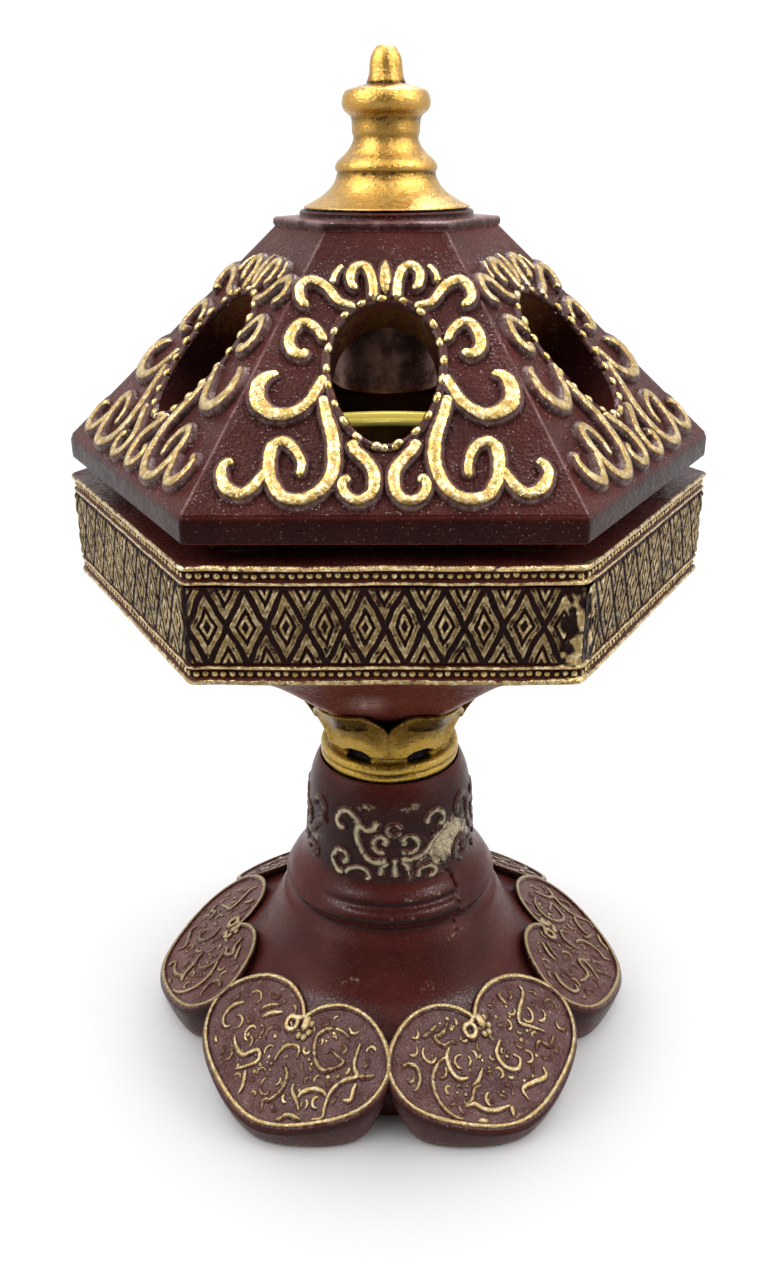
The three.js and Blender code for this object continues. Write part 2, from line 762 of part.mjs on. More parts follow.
// Scrolls of one half of a lid face: across as a share of the face's half width there,
// up as a share of the slant, from a turn round the beaded ring; mirrored for the other half
const scrollShares = [
  { width: fineStrand, steps: 5, from: 0.3, path: [
    [-0.195, 0.815], [-0.282, 0.855], [-0.416, 0.862], [-0.471, 0.825], [-0.414, 0.78],
    [-0.344, 0.775],
  ] },
  { width: fineStrand, steps: 5, from: 0.34, path: [
    [-0.474, 0.735], [-0.62, 0.78], [-0.737, 0.802], [-0.865, 0.809], [-0.93, 0.787],
    [-0.894, 0.744], [-0.812, 0.718], [-0.738, 0.722],
  ] },
  { width: fineStrand, steps: 5, from: 0.445, path: [
    [-0.53, 0.59], [-0.571, 0.615], [-0.682, 0.65], [-0.794, 0.65], [-0.848, 0.611],
    [-0.825, 0.568], [-0.748, 0.535], [-0.668, 0.535], [-0.713, 0.57],
  ] },
  { width: boldStrand, steps: 6, from: 0.502, path: [
    [-0.475, 0.417], [-0.509, 0.366], [-0.587, 0.333], [-0.676, 0.3215], [-0.773, 0.333],
    [-0.89, 0.374], [-0.936, 0.424], [-0.902, 0.465], [-0.787, 0.475],
  ] },
  { width: fullStrand, steps: 10, from: 0.532, path: [
    [-0.411, 0.383], [-0.371, 0.325], [-0.315, 0.26], [-0.284, 0.196], [-0.284, 0.14],
    [-0.318, 0.086], [-0.409, 0.047], [-0.508, 0.054], [-0.576, 0.093], [-0.63, 0.148],
    [-0.655, 0.22], [-0.596, 0.239], [-0.509, 0.211], [-0.456, 0.164], [-0.456, 0.116],
  ] },
  { width: fullStrand, steps: 4, path: [
    [-0.637, 0.18], [-0.655, 0.125], [-0.687, 0.086], [-0.736, 0.065], [-0.824, 0.086],
    [-0.887, 0.133], [-0.887, 0.164], [-0.834, 0.176],
  ] },
  { width: fullStrand, steps: 6, from: 0.645, path: [
    [-0.167, 0.211], [-0.101, 0.18], [-0.052, 0.133], [-0.057, 0.077], [-0.113, 0.043],
    [-0.177, 0.054], [-0.219, 0.086], [-0.213, 0.112], [-0.161, 0.112],
  ] },
];
const flameShares = [[0, 0.79], [0, 0.86], [0, 0.92]];

function onFace(u, v) {
  return [u * (eavesHalfWidth + (roofHalfWidth - eavesHalfWidth) * v), v * slantLength];
}

function lidScrollGeometry() {
  const place = (u, v, lift) => new THREE.Vector3(u, v, lift + scrollGap);
  const beadSteps = beadCount * 2;
  const ringAt = (t) => windowPoint(t, beadWidth / 2);
  const beadAt = (i) => (i % 2 === 0 ? beadWidth : beadNeckWidth);
  const pieces = [closedStrand(ringAt, beadSteps, beadAt, scrollHeight, place)];
  const flame = [ringAt(1 / 4)].concat(flameShares.map(([u, v]) => onFace(u, v)));
  const flameWidth = (t) => boldStrand * (0.25 + Math.sin(Math.PI * (0.15 + 0.8 * t)));
  pieces.push(strand(flame, 4, flameWidth, scrollHeight, place));
  for (const { width, steps, from, path } of scrollShares) {
    const start = from === undefined ? [] : [ringAt(from)];
    const left = start.concat(path.map(([u, v]) => onFace(u, v)));
    for (const side of [-1, 1]) {
      const points = left.map(([across, along]) => [side * across, along]);
      const widthAt = (t) => width * (0.55 + 0.45 * Math.sin(Math.PI * t));
      pieces.push(strand(points, steps, widthAt, scrollHeight, place));
    }
  }
  return toGeometry(joined(pieces));
}

// Finial profile: radius as a share of the base radius, height as a share of the whole
const finialShares = [
  [1, 0.015], [0.785, 0.083], [0.66, 0.145], [0.602, 0.207], [0.593, 0.233], [0.615, 0.258],
  [0.57, 0.308], [0.46, 0.362], [0.386, 0.446], [0.405, 0.52], [0.44, 0.583], [0.505, 0.612],
  [0.525, 0.658], [0.499, 0.709], [0.449, 0.736], [0.244, 0.768], [0.205, 0.81], [0.189, 0.889],
  [0.129, 0.972],
];

function finialGeometry() {
  const profile = finialShares.map(([out, up]) => [
    out * finialBaseRadius,
    finialBaseZ + up * finialHeight,
  ]);
  const body = turned([
    [0, finialBaseZ],
    [finialBaseRadius, finialBaseZ],
    ...profile,
    [0, finialBaseZ + finialHeight],
  ], finialSteps);
  const boreTopZ = finialBaseZ + studDepth + seatGap;
  const bore = rod(studRadius + seatGap, finialBaseZ - overrun, boreTopZ, smallSteps);
  return toGeometry(cutBy(toSolid(body), [bore]));
}

// Fasteners
function washerGeometry(hole, outer, low, thickness) {
  return toGeometry(toSolid(ring(hole, outer, low, low + thickness, smallSteps)));
}

function nutGeometry(hole, outer, low, height) {
  const blank = rod(outer, low, low + height, SIDES);
  const bore = rod(hole, low - overrun, low + height + overrun, smallSteps);
  return toGeometry(cutBy(toSolid(blank), [bore]));
}

// Finishes
function finish(color, roughness, metalness) {
  return new THREE.MeshStandardMaterial({ color, roughness, metalness });
}

const resin = () => finish('#582d2a', 0.45, 0);
const gilt = () => finish('#cfa752', 0.38, 0.8);
const dryGilt = () => finish('#9c7c46', 0.5, 0.6);
const brass = () => finish('#b8963c', 0.3, 1);
const steel = () => finish('#8d8f92', 0.4, 1);
const felt = () => finish('#2b2422', 0.95, 0);

function part(name, geometry, material) {
  const mesh = new THREE.Mesh(geometry, material);
  mesh.name = name;
  return mesh;
}

// Six copies of a piece, each turned one side further round the axis
function sixTimes(name, geometry, material, settle) {
  const group = new THREE.Group();
  for (let k = 0; k < SIDES; k += 1) {
    const turn = new THREE.Group();
    turn.rotation.z = k * sideAngle;
    const mesh = part(`${name}_${k + 1}`, geometry, material());
    settle(mesh);
    turn.add(mesh);
    group.add(turn);
  }
  return group;
}

function build() {
  const burner = new THREE.Group();
  const padZ = padThickness / 2;
  const pad = rod(padRadius, -padZ, padZ, smallSteps);
  const rodLow = hollowRoofZ - seatGap - washerThickness - seatGap - nutHeight - rodEnd;
  const washerZ = hollowRoofZ - seatGap - washerThickness;
  const tieRod = toGeometry(toSolid(rod(rodRadius, rodLow, rodTopZ, smallSteps)));
  const tieWasher = washerGeometry(boreRadius, washerRadius, washerZ, washerThickness);
  const lowerNut = nutGeometry(boreRadius, nutRadius, washerZ - seatGap - nutHeight, nutHeight);
  const upperNut = nutGeometry(boreRadius, nutRadius, wellFloorZ + seatGap, nutHeight);
  const studWasherZ = bossSeatZ - seatGap - washerThickness;
  const studNutZ = studWasherZ - seatGap - studNutHeight;
  const studLow = studNutZ - rodEnd;
  const studHigh = finialBaseZ + studDepth;
  const studHole = studRadius + seatGap;
  const stud = toGeometry(toSolid(rod(studRadius, studLow, studHigh, smallSteps)));
  const studWasher = washerGeometry(studHole, studWasherRadius, studWasherZ, washerThickness);
  const studNut = nutGeometry(studHole, studNutRadius, studNutZ, studNutHeight);
  burner.add(part('foot', footGeometry(), resin()));
  burner.add(sixTimes('felt_pad', toGeometry(toSolid(pad)), felt, (mesh) => {
    mesh.position.set(padPlaceRadius, 0, padZ);
  }));
  burner.add(sixTimes('petal_rim', petalRimGeometry(), dryGilt, () => {}));
  burner.add(part('collar', collarGeometry(), gilt()));
  burner.add(part('tray', trayGeometry(), resin()));
  burner.add(sixTimes('frieze_panel', friezeGeometry(), dryGilt, (mesh) => {
    mesh.rotation.x = Math.PI / 2;
    mesh.position.set(0, -fieldCornerRadius * apothemShare - seatGap, (fieldBaseZ + fieldTopZ) / 2);
  }));
  burner.add(part('tie_rod', tieRod, steel()));
  burner.add(part('tie_washer', tieWasher, steel()));
  burner.add(part('tie_nut_lower', lowerNut, steel()));
  burner.add(part('tie_nut_upper', upperNut, steel()));
  burner.add(part('charcoal_cup', cupGeometry(), brass()));
  burner.add(part('lid', lidGeometry(), resin()));
  burner.add(sixTimes('lid_scroll', lidScrollGeometry(), gilt, (mesh) => {
    mesh.rotation.x = slopeAngle;
    mesh.position.set(0, -lidCornerRadius * apothemShare, eavesZ);
  }));
  burner.add(part('finial', finialGeometry(), gilt()));
  burner.add(part('finial_stud', stud, steel()));
  burner.add(part('finial_washer', studWasher, steel()));
  burner.add(part('finial_nut', studNut, steel()));
  return burner;
}

export default build();
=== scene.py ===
"""Looks of a charcoal incense burner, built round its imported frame."""

import math

import bmesh
import bpy
import numpy as np
from mathutils import Matrix, Vector


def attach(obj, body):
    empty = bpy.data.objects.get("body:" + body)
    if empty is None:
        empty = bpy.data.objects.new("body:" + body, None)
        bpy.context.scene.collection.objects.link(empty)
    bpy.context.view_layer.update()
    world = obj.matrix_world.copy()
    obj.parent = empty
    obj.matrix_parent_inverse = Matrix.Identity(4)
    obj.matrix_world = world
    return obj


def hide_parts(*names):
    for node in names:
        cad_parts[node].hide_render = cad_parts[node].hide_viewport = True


bl_info = {
    "name": "Charcoal Incense Burner",
    "version": (1, 0, 0),
    "blender": (4, 5, 0),
    "location": "View3D > Sidebar > Burner",
    "description": "Castings, gilding and studio for a hexagonal charcoal incense burner",
    "category": "Add Mesh",
}

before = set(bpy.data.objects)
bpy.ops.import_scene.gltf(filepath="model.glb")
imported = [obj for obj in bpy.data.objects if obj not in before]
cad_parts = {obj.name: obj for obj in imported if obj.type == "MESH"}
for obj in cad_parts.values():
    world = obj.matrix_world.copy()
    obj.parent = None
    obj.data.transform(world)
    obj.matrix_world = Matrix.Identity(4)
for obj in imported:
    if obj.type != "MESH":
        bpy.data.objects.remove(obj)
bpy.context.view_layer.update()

MM = 0.001
WELD = 0.002 * MM
SIDES = 6
SIDE_ANGLE = 2 * math.pi / SIDES
APOTHEM_SHARE = math.cos(SIDE_ANGLE / 2)

# Shapes shared with the frame, in millimetres
FOOT_BASE = 0.8
COLUMN_TOP = 62.9
COLUMN_RADIUS = 18.7
TRAY_CORNER = 64.0
STEM_CORNER = 12.2
SEAT_Z = 76.3
ROD_HOLE = 3.3
CHANNEL_CORNER = 62.9
TRAY_TOP = 130.0
BAND_BASE = 109.4
MOULDING = 3.5
FIELD_CORNER = 62.2
LID_CORNER = 63.1
LID_BASE = 133.2
EAVES = 137.7
SLOPE_TOP = 176.6
ROOF_CORNER = 20.7
LID_TOP = 178.2
LID_WALL = 3.6
WINDOW_DEPTH = 6.8
SLOPE_RUN = (LID_CORNER - ROOF_CORNER) * APOTHEM_SHARE
SLOPE_ANGLE = math.atan2(SLOPE_TOP - EAVES, SLOPE_RUN)
SLANT = math.hypot(SLOPE_TOP - EAVES, SLOPE_RUN)
EAVES_HALF = LID_CORNER / 2
ROOF_HALF = ROOF_CORNER / 2
WINDOW_CENTRE = 0.484 * SLANT
PETAL_LOBE = 30.53
PETAL_TIP = 56.4
PETAL_HALF_WIDTH = 23.05
PETAL_LOBE_Z = 20.3
PETAL_TIP_Z = 4.2
PETAL_CROWN = 1.5
PETAL_MIDDLE = np.array([(PETAL_LOBE + PETAL_TIP) / 2, 0])


# Meshes

class Shape:
    """Points in millimetres with their faces, gilding, grain and haze (painted sheen and highlights, and real
    scratches), gathered into one mesh.
    """

    def __init__(self):
        self.points = []
        self.faces = []
        self.layers = {"gilding": [], "grain": [], "haze": []}
        self.count = 0

    def add(self, points, faces, gilding=0.0, grain=0.0, haze=0.0):
        """Adds a patch: points is n by 3, and faces count from the patch's own first point."""
        points = np.asarray(points, float).reshape(-1, 3)
        self.points.append(points)
        self.faces.extend(tuple(i + self.count for i in face) for face in faces)
        for layer, values in zip(self.layers.values(), (gilding, grain, haze)):
            layer.append(np.broadcast_to(np.ravel(values), (len(points),)))
        self.count += len(points)

    def build(self, name, body, slot, material, crease=38.0):
        """Makes the mesh object, in metres, and sets it on its body."""
        mesh = bpy.data.meshes.new(name)
        mesh.from_pydata((np.concatenate(self.points) * MM).tolist(), [], self.faces)
        for label, values in self.layers.items():
            layer = mesh.attributes.new(label, "FLOAT", "POINT")
            layer.data.foreach_set("value", np.concatenate(values).astype(np.float32))
        shade(mesh, crease)
        mesh.materials.append(material)
        piece = linked(name, mesh)
        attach(piece, body)
        return piece


def linked(name, data):
    """A new object in the scene."""
    made = bpy.data.objects.new(name, data)
    bpy.context.scene.collection.objects.link(made)
    return made


def shade(mesh, crease):
    """Smooth shading, with edges sharper than the crease angle kept sharp."""
    work = bmesh.new()
    work.from_mesh(mesh)
    bmesh.ops.remove_doubles(work, verts=work.verts, dist=WELD)
    limit = math.radians(crease)
    for face in work.faces:
        face.smooth = True
    for edge in work.edges:
        edge.smooth = len(edge.link_faces) != 2 or edge.calc_face_angle(0.0) < limit
    work.to_mesh(mesh)
    work.free()


def grid_faces(rows, columns, closed=False, looped=False):
    """Quads over a grid of rows by columns; closed joins the last column to the first."""
    faces = []
    for i in range(rows if looped else rows - 1):
        ahead = (i + 1) % rows
        for j in range(columns if closed else columns - 1):
            beside = (j + 1) % columns
            here, there = i * columns, ahead * columns
            faces.append((here + j, here + beside, there + beside, there + j))
    return faces


def smooth_path(points, spacing):
    """An even line through the points, rounded between them."""
    points = np.asarray(points, float)
    padded = np.vstack([2 * points[0] - points[1], points, 2 * points[-1] - points[-2]])
    t = np.linspace(0, 1, 17)[:-1, None]
    parts = []
    for a, b, c, d in zip(padded[:-3], padded[1:-2], padded[2:-1], padded[3:]):
        square, cube = 2 * a - 5 * b + 4 * c - d, 3 * b - a - 3 * c + d
        parts.append(0.5 * (2 * b + (c - a) * t + square * t**2 + cube * t**3))
    return even(np.vstack(parts + [points[-1:]]), spacing)


def even(line, spacing):
    """The same line, with points at an even spacing."""
    steps = np.linalg.norm(np.diff(line, axis=0), axis=1)
    along = np.concatenate([[0], np.cumsum(steps)])
    count = max(3, int(round(along[-1] / spacing)) + 1)
    at = np.linspace(0, along[-1], count)
    return np.stack([np.interp(at, along, line[:, k]) for k in range(line.shape[1])], 1)


def full_turn(count):
    """Even angles all the way round."""
    return np.linspace(0, 2 * math.pi, count, endpoint=False)


def wrapped(angle, turn=2 * math.pi):
    """The angle brought to within half a turn of nought."""
    return (angle + turn / 2) % turn - turn / 2


def arc(centre, radius, start, end, count):
    """Points on part of a circle."""
    return [(centre[0] + radius * math.cos(a), centre[1] + radius * math.sin(a))
            for a in np.linspace(start, end, count)]


def turned(profile, steps):
    """Points of a turned shape, one row for each [radius, height] of the profile."""
    radius, height = np.asarray(profile, float)[:, :2].T[..., None]
    angle = full_turn(steps)
    return np.stack([radius * np.cos(angle), radius * np.sin(angle), np.repeat(height, steps, 1)], 2)


def circle(radius, z, angle):
    """Points round the axis at the angles, all at one height."""
    return np.column_stack([radius * np.cos(angle), radius * np.sin(angle), np.full(len(angle), z)])


def hump(*terms):
    """A smooth hump: 1 where every term is 0, fading as they grow."""
    return np.exp(-sum(term ** 2 for term in terms))


def reach(outline, centre, points):
    """How far the outline lies from the centre in the direction of each point."""
    edge, away = outline - centre, points - centre
    bearing = np.arctan2(edge[:, 1], edge[:, 0])
    order = np.argsort(bearing)
    towards = np.arctan2(away[:, 1], away[:, 0])
    return np.interp(towards, bearing[order], np.hypot(*edge.T)[order], period=2 * math.pi)


def wave(values, pitch, seed):
    """A slow, uneven wave between -1 and 1 along the values, in their own unit."""
    values = np.asarray(values, float)
    total = np.zeros_like(values)
    for k, share in enumerate((1.0, 0.53, 0.31)):
        total = total + share * np.sin(2 * math.pi * values / (pitch * share) + seed * (k + 1.7))
    return total / 1.84


def about_z(points, angle):
    """The points turned about the burner's axis."""
    points = np.asarray(points, float)
    c, s = math.cos(angle), math.sin(angle)
    x, y, z = points[..., 0], points[..., 1], points[..., 2]
    return np.stack([c * x - s * y, s * x + c * y, z], -1)


# Relief: strands and beads laid on a surface by place(across, along, lift)

# Across a strand: share of the gilded half, share of the flank, height, gilding, grain and haze; gilding
# falling off towards the edges paints the gold darker there as painted shade, grain puts dust and painted
# glints on the flanks, and haze a painted sheen along them
HALF_SECTION = [
    (0, 0, 1, 1, 0, 0), (0.35, 0, 0.97, 0.92, 0, 0), (0.7, 0, 0.9, 0.7, 0, 0), (1, 0, 0.8, 0.38, 0, 0.2),
    (1, 0.35, 0.66, 0, 0.6, 0.45), (1, 0.7, 0.25, 0, 1, 0.1), (1, 1, -0.1, 0, 1, 0),
]
SECTION = np.array([(-half, -side, *rest) for half, side, *rest in HALF_SECTION[:0:-1]] + HALF_SECTION)


def strand(shape, path, width, height, place, bulge=None, closed=False, gilt=1.0, spacing=0.3, flank=0.25):
    """One raised strand with rounded ends, lacquered flanks and a gilded crest."""
    line = smooth_path(path, spacing) if not closed else np.asarray(path, float)
    if closed:
        step = np.roll(line, -1, 0) - np.roll(line, 1, 0)
    else:
        step = np.gradient(line, axis=0)
    step /= np.maximum(np.linalg.norm(step, axis=1, keepdims=True), 1e-9)
    share = np.linspace(0, 1, len(line))
    full = width * (np.ones(len(line)) if bulge is None else np.interp(share, *zip(*bulge)))
    ends = np.ones(len(line))
    if not closed:
        length = np.linalg.norm(np.diff(line, axis=0), axis=1).sum()
        near = np.minimum(share, 1 - share) * length
        ends = np.sqrt(np.clip(1 - (1 - np.minimum(near / (0.55 * full + 1e-6), 1)) ** 2, 0.0004, 1))
    half, side, rise, cover, grain, haze = SECTION.T
    across = (0.54 * full * ends)[:, None] * half + flank * (0.3 + 0.7 * ends)[:, None] * side
    tall = height * np.sqrt(np.clip(full / width, 0.3, 1.4)) * ends ** 0.6
    lift = tall[:, None] * rise
    u = line[:, 0:1] + step[:, 1:2] * across
    v = line[:, 1:2] - step[:, 0:1] * across
    points = place(u, v, lift)
    faces = grid_faces(len(line), len(SECTION), looped=closed)
    value = gilt * cover * np.clip(ends, 0.7, 1)[:, None]
    shape.add(points, faces, value, grain + 0 * value, haze + 0 * value)
    return line


def bead(shape, at, size, place, gilt=1.0, squash=0.8, along=None):
    """One small domed bead, drawn out along a direction if one is given."""
    rings, around = 5, 10
    turn = full_turn(around)
    tilt = np.linspace(0, math.pi / 2 * 0.97, rings)
    long, short = (1.0, 1.0) if along is None else (1.12, 0.76)
    c, s = (1.0, 0.0) if along is None else along
    a = long * size * np.cos(tilt)[:, None] * np.cos(turn)
    b = short * size * np.cos(tilt)[:, None] * np.sin(turn)
    u = at[0] + c * a - s * b
    v = at[1] + s * a + c * b
    lift = size * squash * np.sin(tilt)[:, None] + 0 * turn
    lift[0] -= 0.1
    # Gilding rises to the top of the bead, so its gold is painted darker round the foot: painted shade.
    value = gilt * np.sin(tilt)[:, None] + 0 * turn
    faces = grid_faces(rings, around, closed=True)
    faces.append(tuple((rings - 1) * around + i for i in range(around)))
    shape.add(place(u, v, lift), faces, value)


def on_lid_face(k):
    """Lays (across, up the slope, out) on side k of the lid."""
    c, s = math.cos(SLOPE_ANGLE), math.sin(SLOPE_ANGLE)

    def place(u, v, lift):
        u, v, lift = np.broadcast_arrays(u, v, lift)
        y = v * c - lift * s - LID_CORNER * APOTHEM_SHARE
        return about_z(np.stack([u, y, v * s + lift * c + EAVES], -1), k * SIDE_ANGLE)

    return place


def on_petal(k):
    """Lays (outwards, sideways, up) on petal k."""

    def place(out, side, lift):
        out, side, lift = np.broadcast_arrays(out, side, lift)
        return about_z(np.stack([out, side, petal_height(out, side) + lift], -1), k * SIDE_ANGLE)

    return place


def on_column(angle):
    """Lays (round the column, height, out) on the column, measured from its front."""

    def place(across, z, lift):
        across, z, lift = np.broadcast_arrays(across, z, lift)
        radius = np.interp(z, COLUMN_SIDE[::-1, 1], COLUMN_SIDE[::-1, 0])
        turn = across / COLUMN_RADIUS + angle - math.pi / 2
        return np.stack([(radius + lift) * np.cos(turn), (radius + lift) * np.sin(turn), z], -1)

    return place


def on_band(k, apothem):
    """Lays (along, height, out) on side k of the tray's band."""

    def place(x, z, lift):
        x, z, lift = np.broadcast_arrays(x, z, lift)
        return about_z(np.stack([x, -(apothem + lift), z], -1), k * SIDE_ANGLE)

    return place


# Foot casting

# Half outlines: radius and height
COLUMN_SIDE = np.array([
    (15.45, 66.7), (15.9, 66.3), (16.7, 64.6), (17.4, 62.6), (17.9, 60.3), (18.15, 58), (18.3, 53.8),
    (18.5, 49.6), (18.7, 46.8), (19.0, 45.2),
])
STEPPED_SIDE = [
    (19.0, 45.2), (19.3, 43.9), (20.0, 42.7), (20.9, 41.9), (21.5, 41.3), (21.7, 40.6), (21.7, 39.9),
    (22.2, 39.5), (23.1, 39.1), (23.7, 38.5), (23.95, 37.6), (23.9, 36.6), (23.3, 35.8), (23.0, 35.1),
    (23.3, 34.0), (24.1, 32.8), (24.9, 31.6),
]
SOFT_SIDE = [
    (19.0, 45.2), (19.4, 43.9), (20.3, 42.3), (21.4, 40.9), (22.3, 39.8), (23.0, 38.7), (23.5, 37.6),
    (24.0, 36.9), (23.95, 36.2), (23.4, 35.4), (22.9, 34.6), (23.0, 33.7), (23.8, 32.5), (24.9, 31.6),
]
SKIRT_SIDE = [
    (24.9, 31.6), (25.9, 29.6), (27.4, 26.6), (28.8, 24.0), (30.4, 21.7), (33.0, 19.7), (36.6, 17.8),
    (40.2, 16.1), (42.6, 14.9),
]
WEB_EDGE = [(43.3, 14.3), (43.5, 13.6), (43.5, 10.2), (42.9, 6), (41.4, FOOT_BASE)]
FOOT_INSIDE = [
    (15.15, 66.4), (15.15, COLUMN_TOP), (10.9, COLUMN_TOP), (10.9, 67.9), (ROD_HOLE, 67.9), (ROD_HOLE, 38),
    (12, 38), (17.9, 30.6), (33.2, 6.8), (33.2, FOOT_BASE), (41.4, FOOT_BASE),
]
# Half a petal, from notch to tip: shares of its length and of its half width
HEART = [
    (0.196, 0), (0.09, 0.13), (0.02, 0.34), (0.03, 0.6), (0.13, 0.84), (0.27, 0.98),
    (0.42, 1), (0.59, 0.92), (0.74, 0.74), (0.87, 0.5), (0.963, 0.25), (1, 0),
]
# Smears of gold on the foot, some of them pale marks that paint highlights on the ring noses (heights 41.2
# and 38.4) and reflections on the skirt (heights 24.5 and 24): strength, degrees from the front, spread,
# height, band and slant
FOOT_SMEARS_AND_HIGHLIGHTS = [
    (1.15, 45, 13, 52.4, 4.2, 0.08), (0.6, 66, 12, 50, 7, 0), (0.5, 24, 30, 49, 6, 0),
    (0.45, -62, 13, 50, 5, 0), (0.5, 20, 14, 41.2, 0.7, 0), (0.42, 6, 22, 38.4, 0.6, 0),
    (0.42, 34, 7, 32, 2.2, 0), (0.4, -16, 12, 24.5, 1.6, 0), (0.42, 16, 9, 24, 1.4, 0),
    (0.72, -16, 9, 62, 1, 0), (0.7, 16, 9, 61.8, 1, 0),
]
# The petals cover the skirt beyond this radius, and it stays this far under their tops
COVERED_FROM = 36
SKIRT_GAP = 0.4


def petal_height(out, side):
    """Height of a petal's top surface."""
    fall = (PETAL_LOBE_Z - PETAL_TIP_Z) / (PETAL_TIP - PETAL_LOBE)
    crown = PETAL_CROWN * (1 - (side / PETAL_HALF_WIDTH) ** 2)
    return PETAL_LOBE_Z - fall * (out - PETAL_LOBE) + crown


def heart_outline(count):
    """Even points round a petal, from its notch, the minus side first."""
    half = np.array(HEART)
    loop = np.vstack([half * [1, -1], half[-2:0:-1], half[:1]])
    loop[:, 0] = PETAL_LOBE + loop[:, 0] * (PETAL_TIP - PETAL_LOBE)
    loop[:, 1] *= PETAL_HALF_WIDTH
    line = smooth_path(loop, 0.1)
    return even(line, np.linalg.norm(np.diff(line, axis=0), axis=1).sum() / count)[:count]


def drawn_in(outline, distance):
    """The outline moved towards the petal's middle."""
    away = outline - PETAL_MIDDLE
    length = np.linalg.norm(away, axis=1, keepdims=True)
    return PETAL_MIDDLE + away * (1 - distance / length)


def add_petal(shape, k):
    """Walls drawn in towards the floor under a rounded edge and a crowned top."""
    outline = heart_outline(150)
    place = on_petal(k)
    rise = petal_height(*outline.T) - FOOT_BASE
    rows = []
    for inset_share, height_share in ((0.36, 0), (0.3, 0.03), (0.2, 0.25), (0.1, 0.5), (0.03, 0.75)):
        ring = drawn_in(outline, (rise * inset_share)[:, None])
        top = petal_height(*ring.T)
        rows.append(place(*ring.T, FOOT_BASE + rise * height_share - top))
    for inset, drop in ((0, 0.9), (0.05, 0.5), (0.25, 0.12), (0.6, 0)):
        ring = drawn_in(outline, inset)
        rows.append(place(*ring.T, -drop))
    for share in (0.93, 0.85, 0.7, 0.5, 0.3, 0.1, 0.01):
        ring = PETAL_MIDDLE + (drawn_in(outline, 0.6) - PETAL_MIDDLE) * share
        rows.append(place(*ring.T, 0.0))
    points = np.array(rows)
    rough = np.repeat([0.2] * 9 + [0.5] * 7, len(outline))
    # Painted sheen: strong on the top, faint on the walls.
    sheened_and_scratched = np.repeat([0.05] * 8 + [0.5] * 8, len(outline))
    flecks = np.repeat([0.0] * 9 + [0.24] * 7, len(outline))
    shape.add(points, grid_faces(len(rows), len(outline), closed=True), flecks, rough, sheened_and_scratched)


def seam_angle(z):
    """Where the mould seam runs, in degrees from the front."""
    return np.interp(z, [33, 36.5, 39, 43, 48.5, 52, 56], [38, 38, 42, 43.5, 34, 31, 30])


def foot_shape():
    """Column, rings and skirt turned, with the petals set against the skirt."""
    steps = 240
    angle = full_turn(steps)
    front = np.degrees(wrapped(angle + math.pi / 2))
    height = np.linspace(0, 1, 49)
    stepped = smooth_path(STEPPED_SIDE, 0.05)
    soft = smooth_path(SOFT_SIDE, 0.05)
    stepped = stepped[(height * (len(stepped) - 1)).astype(int)]
    soft = soft[(height * (len(soft) - 1)).astype(int)]
    column = smooth_path(COLUMN_SIDE, 0.6)
    skirt = smooth_path(SKIRT_SIDE, 0.9)
    outside = np.vstack([WEB_EDGE[::-1], skirt[::-1], stepped[::-1][1:-1], column[::-1]])
    points = turned(np.vstack([outside, FOOT_INSIDE]), steps)
    jag = 1.6 * wave(np.linspace(0, 16, len(height)), 5, 3)
    for row, (r_soft, z_soft) in enumerate(soft[::-1][1:-1]):
        index = len(WEB_EDGE) + len(skirt) + row
        r_step, z_step = stepped[::-1][1:-1][row]
        crisp = np.clip((front + 52) / 34, 0, 1) * (front < seam_angle(z_step) + jag[row])
        radius = r_soft + (r_step - r_soft) * crisp
        points[index, :, 0] = radius * np.cos(angle)
        points[index, :, 1] = radius * np.sin(angle)
        points[index, :, 2] = z_soft + (z_step - z_soft) * crisp
    z = points[:, :, 2]
    radius = np.hypot(points[:, :, 0], points[:, :, 1])
    from_petal = wrapped(angle, SIDE_ANGLE)
    petal_top = petal_height(radius * np.cos(from_petal), radius * np.sin(from_petal))
    z[:] = np.where(radius > COVERED_FROM, np.minimum(z, petal_top - SKIRT_GAP), z)
    near = np.abs(front[None, :] - seam_angle(z) - 1.2 * wave(z, 6, 1))
    crack = hump(near / 0.9) * (z > 31) * (z < 57) * np.clip((57 - z) / 8, 0, 1)
    outer = np.arange(len(points)) < len(outside)
    crack *= outer[:, None]
    scale = 1 - 0.75 * crack / np.maximum(radius, 1)
    points[:, :, 0] *= scale
    points[:, :, 1] *= scale
    smear = np.zeros(z.shape)
    # Smears, among them the painted highlights and reflections.
    for strength, bearing, spread, middle, band, slant in FOOT_SMEARS_AND_HIGHLIGHTS:
        off = front[None, :] - bearing
        smear += strength * hump(off / spread, (z - middle - slant * off) / band)
    shape = Shape()
    covered = np.clip(smear * outer[:, None], 0, 1)
    shape.add(points, grid_faces(len(points), steps, closed=True), covered, 0.25)
    for k in range(SIDES):
        add_petal(shape, k)
    return shape


# Petal relief: distance outwards and sideways on the petal

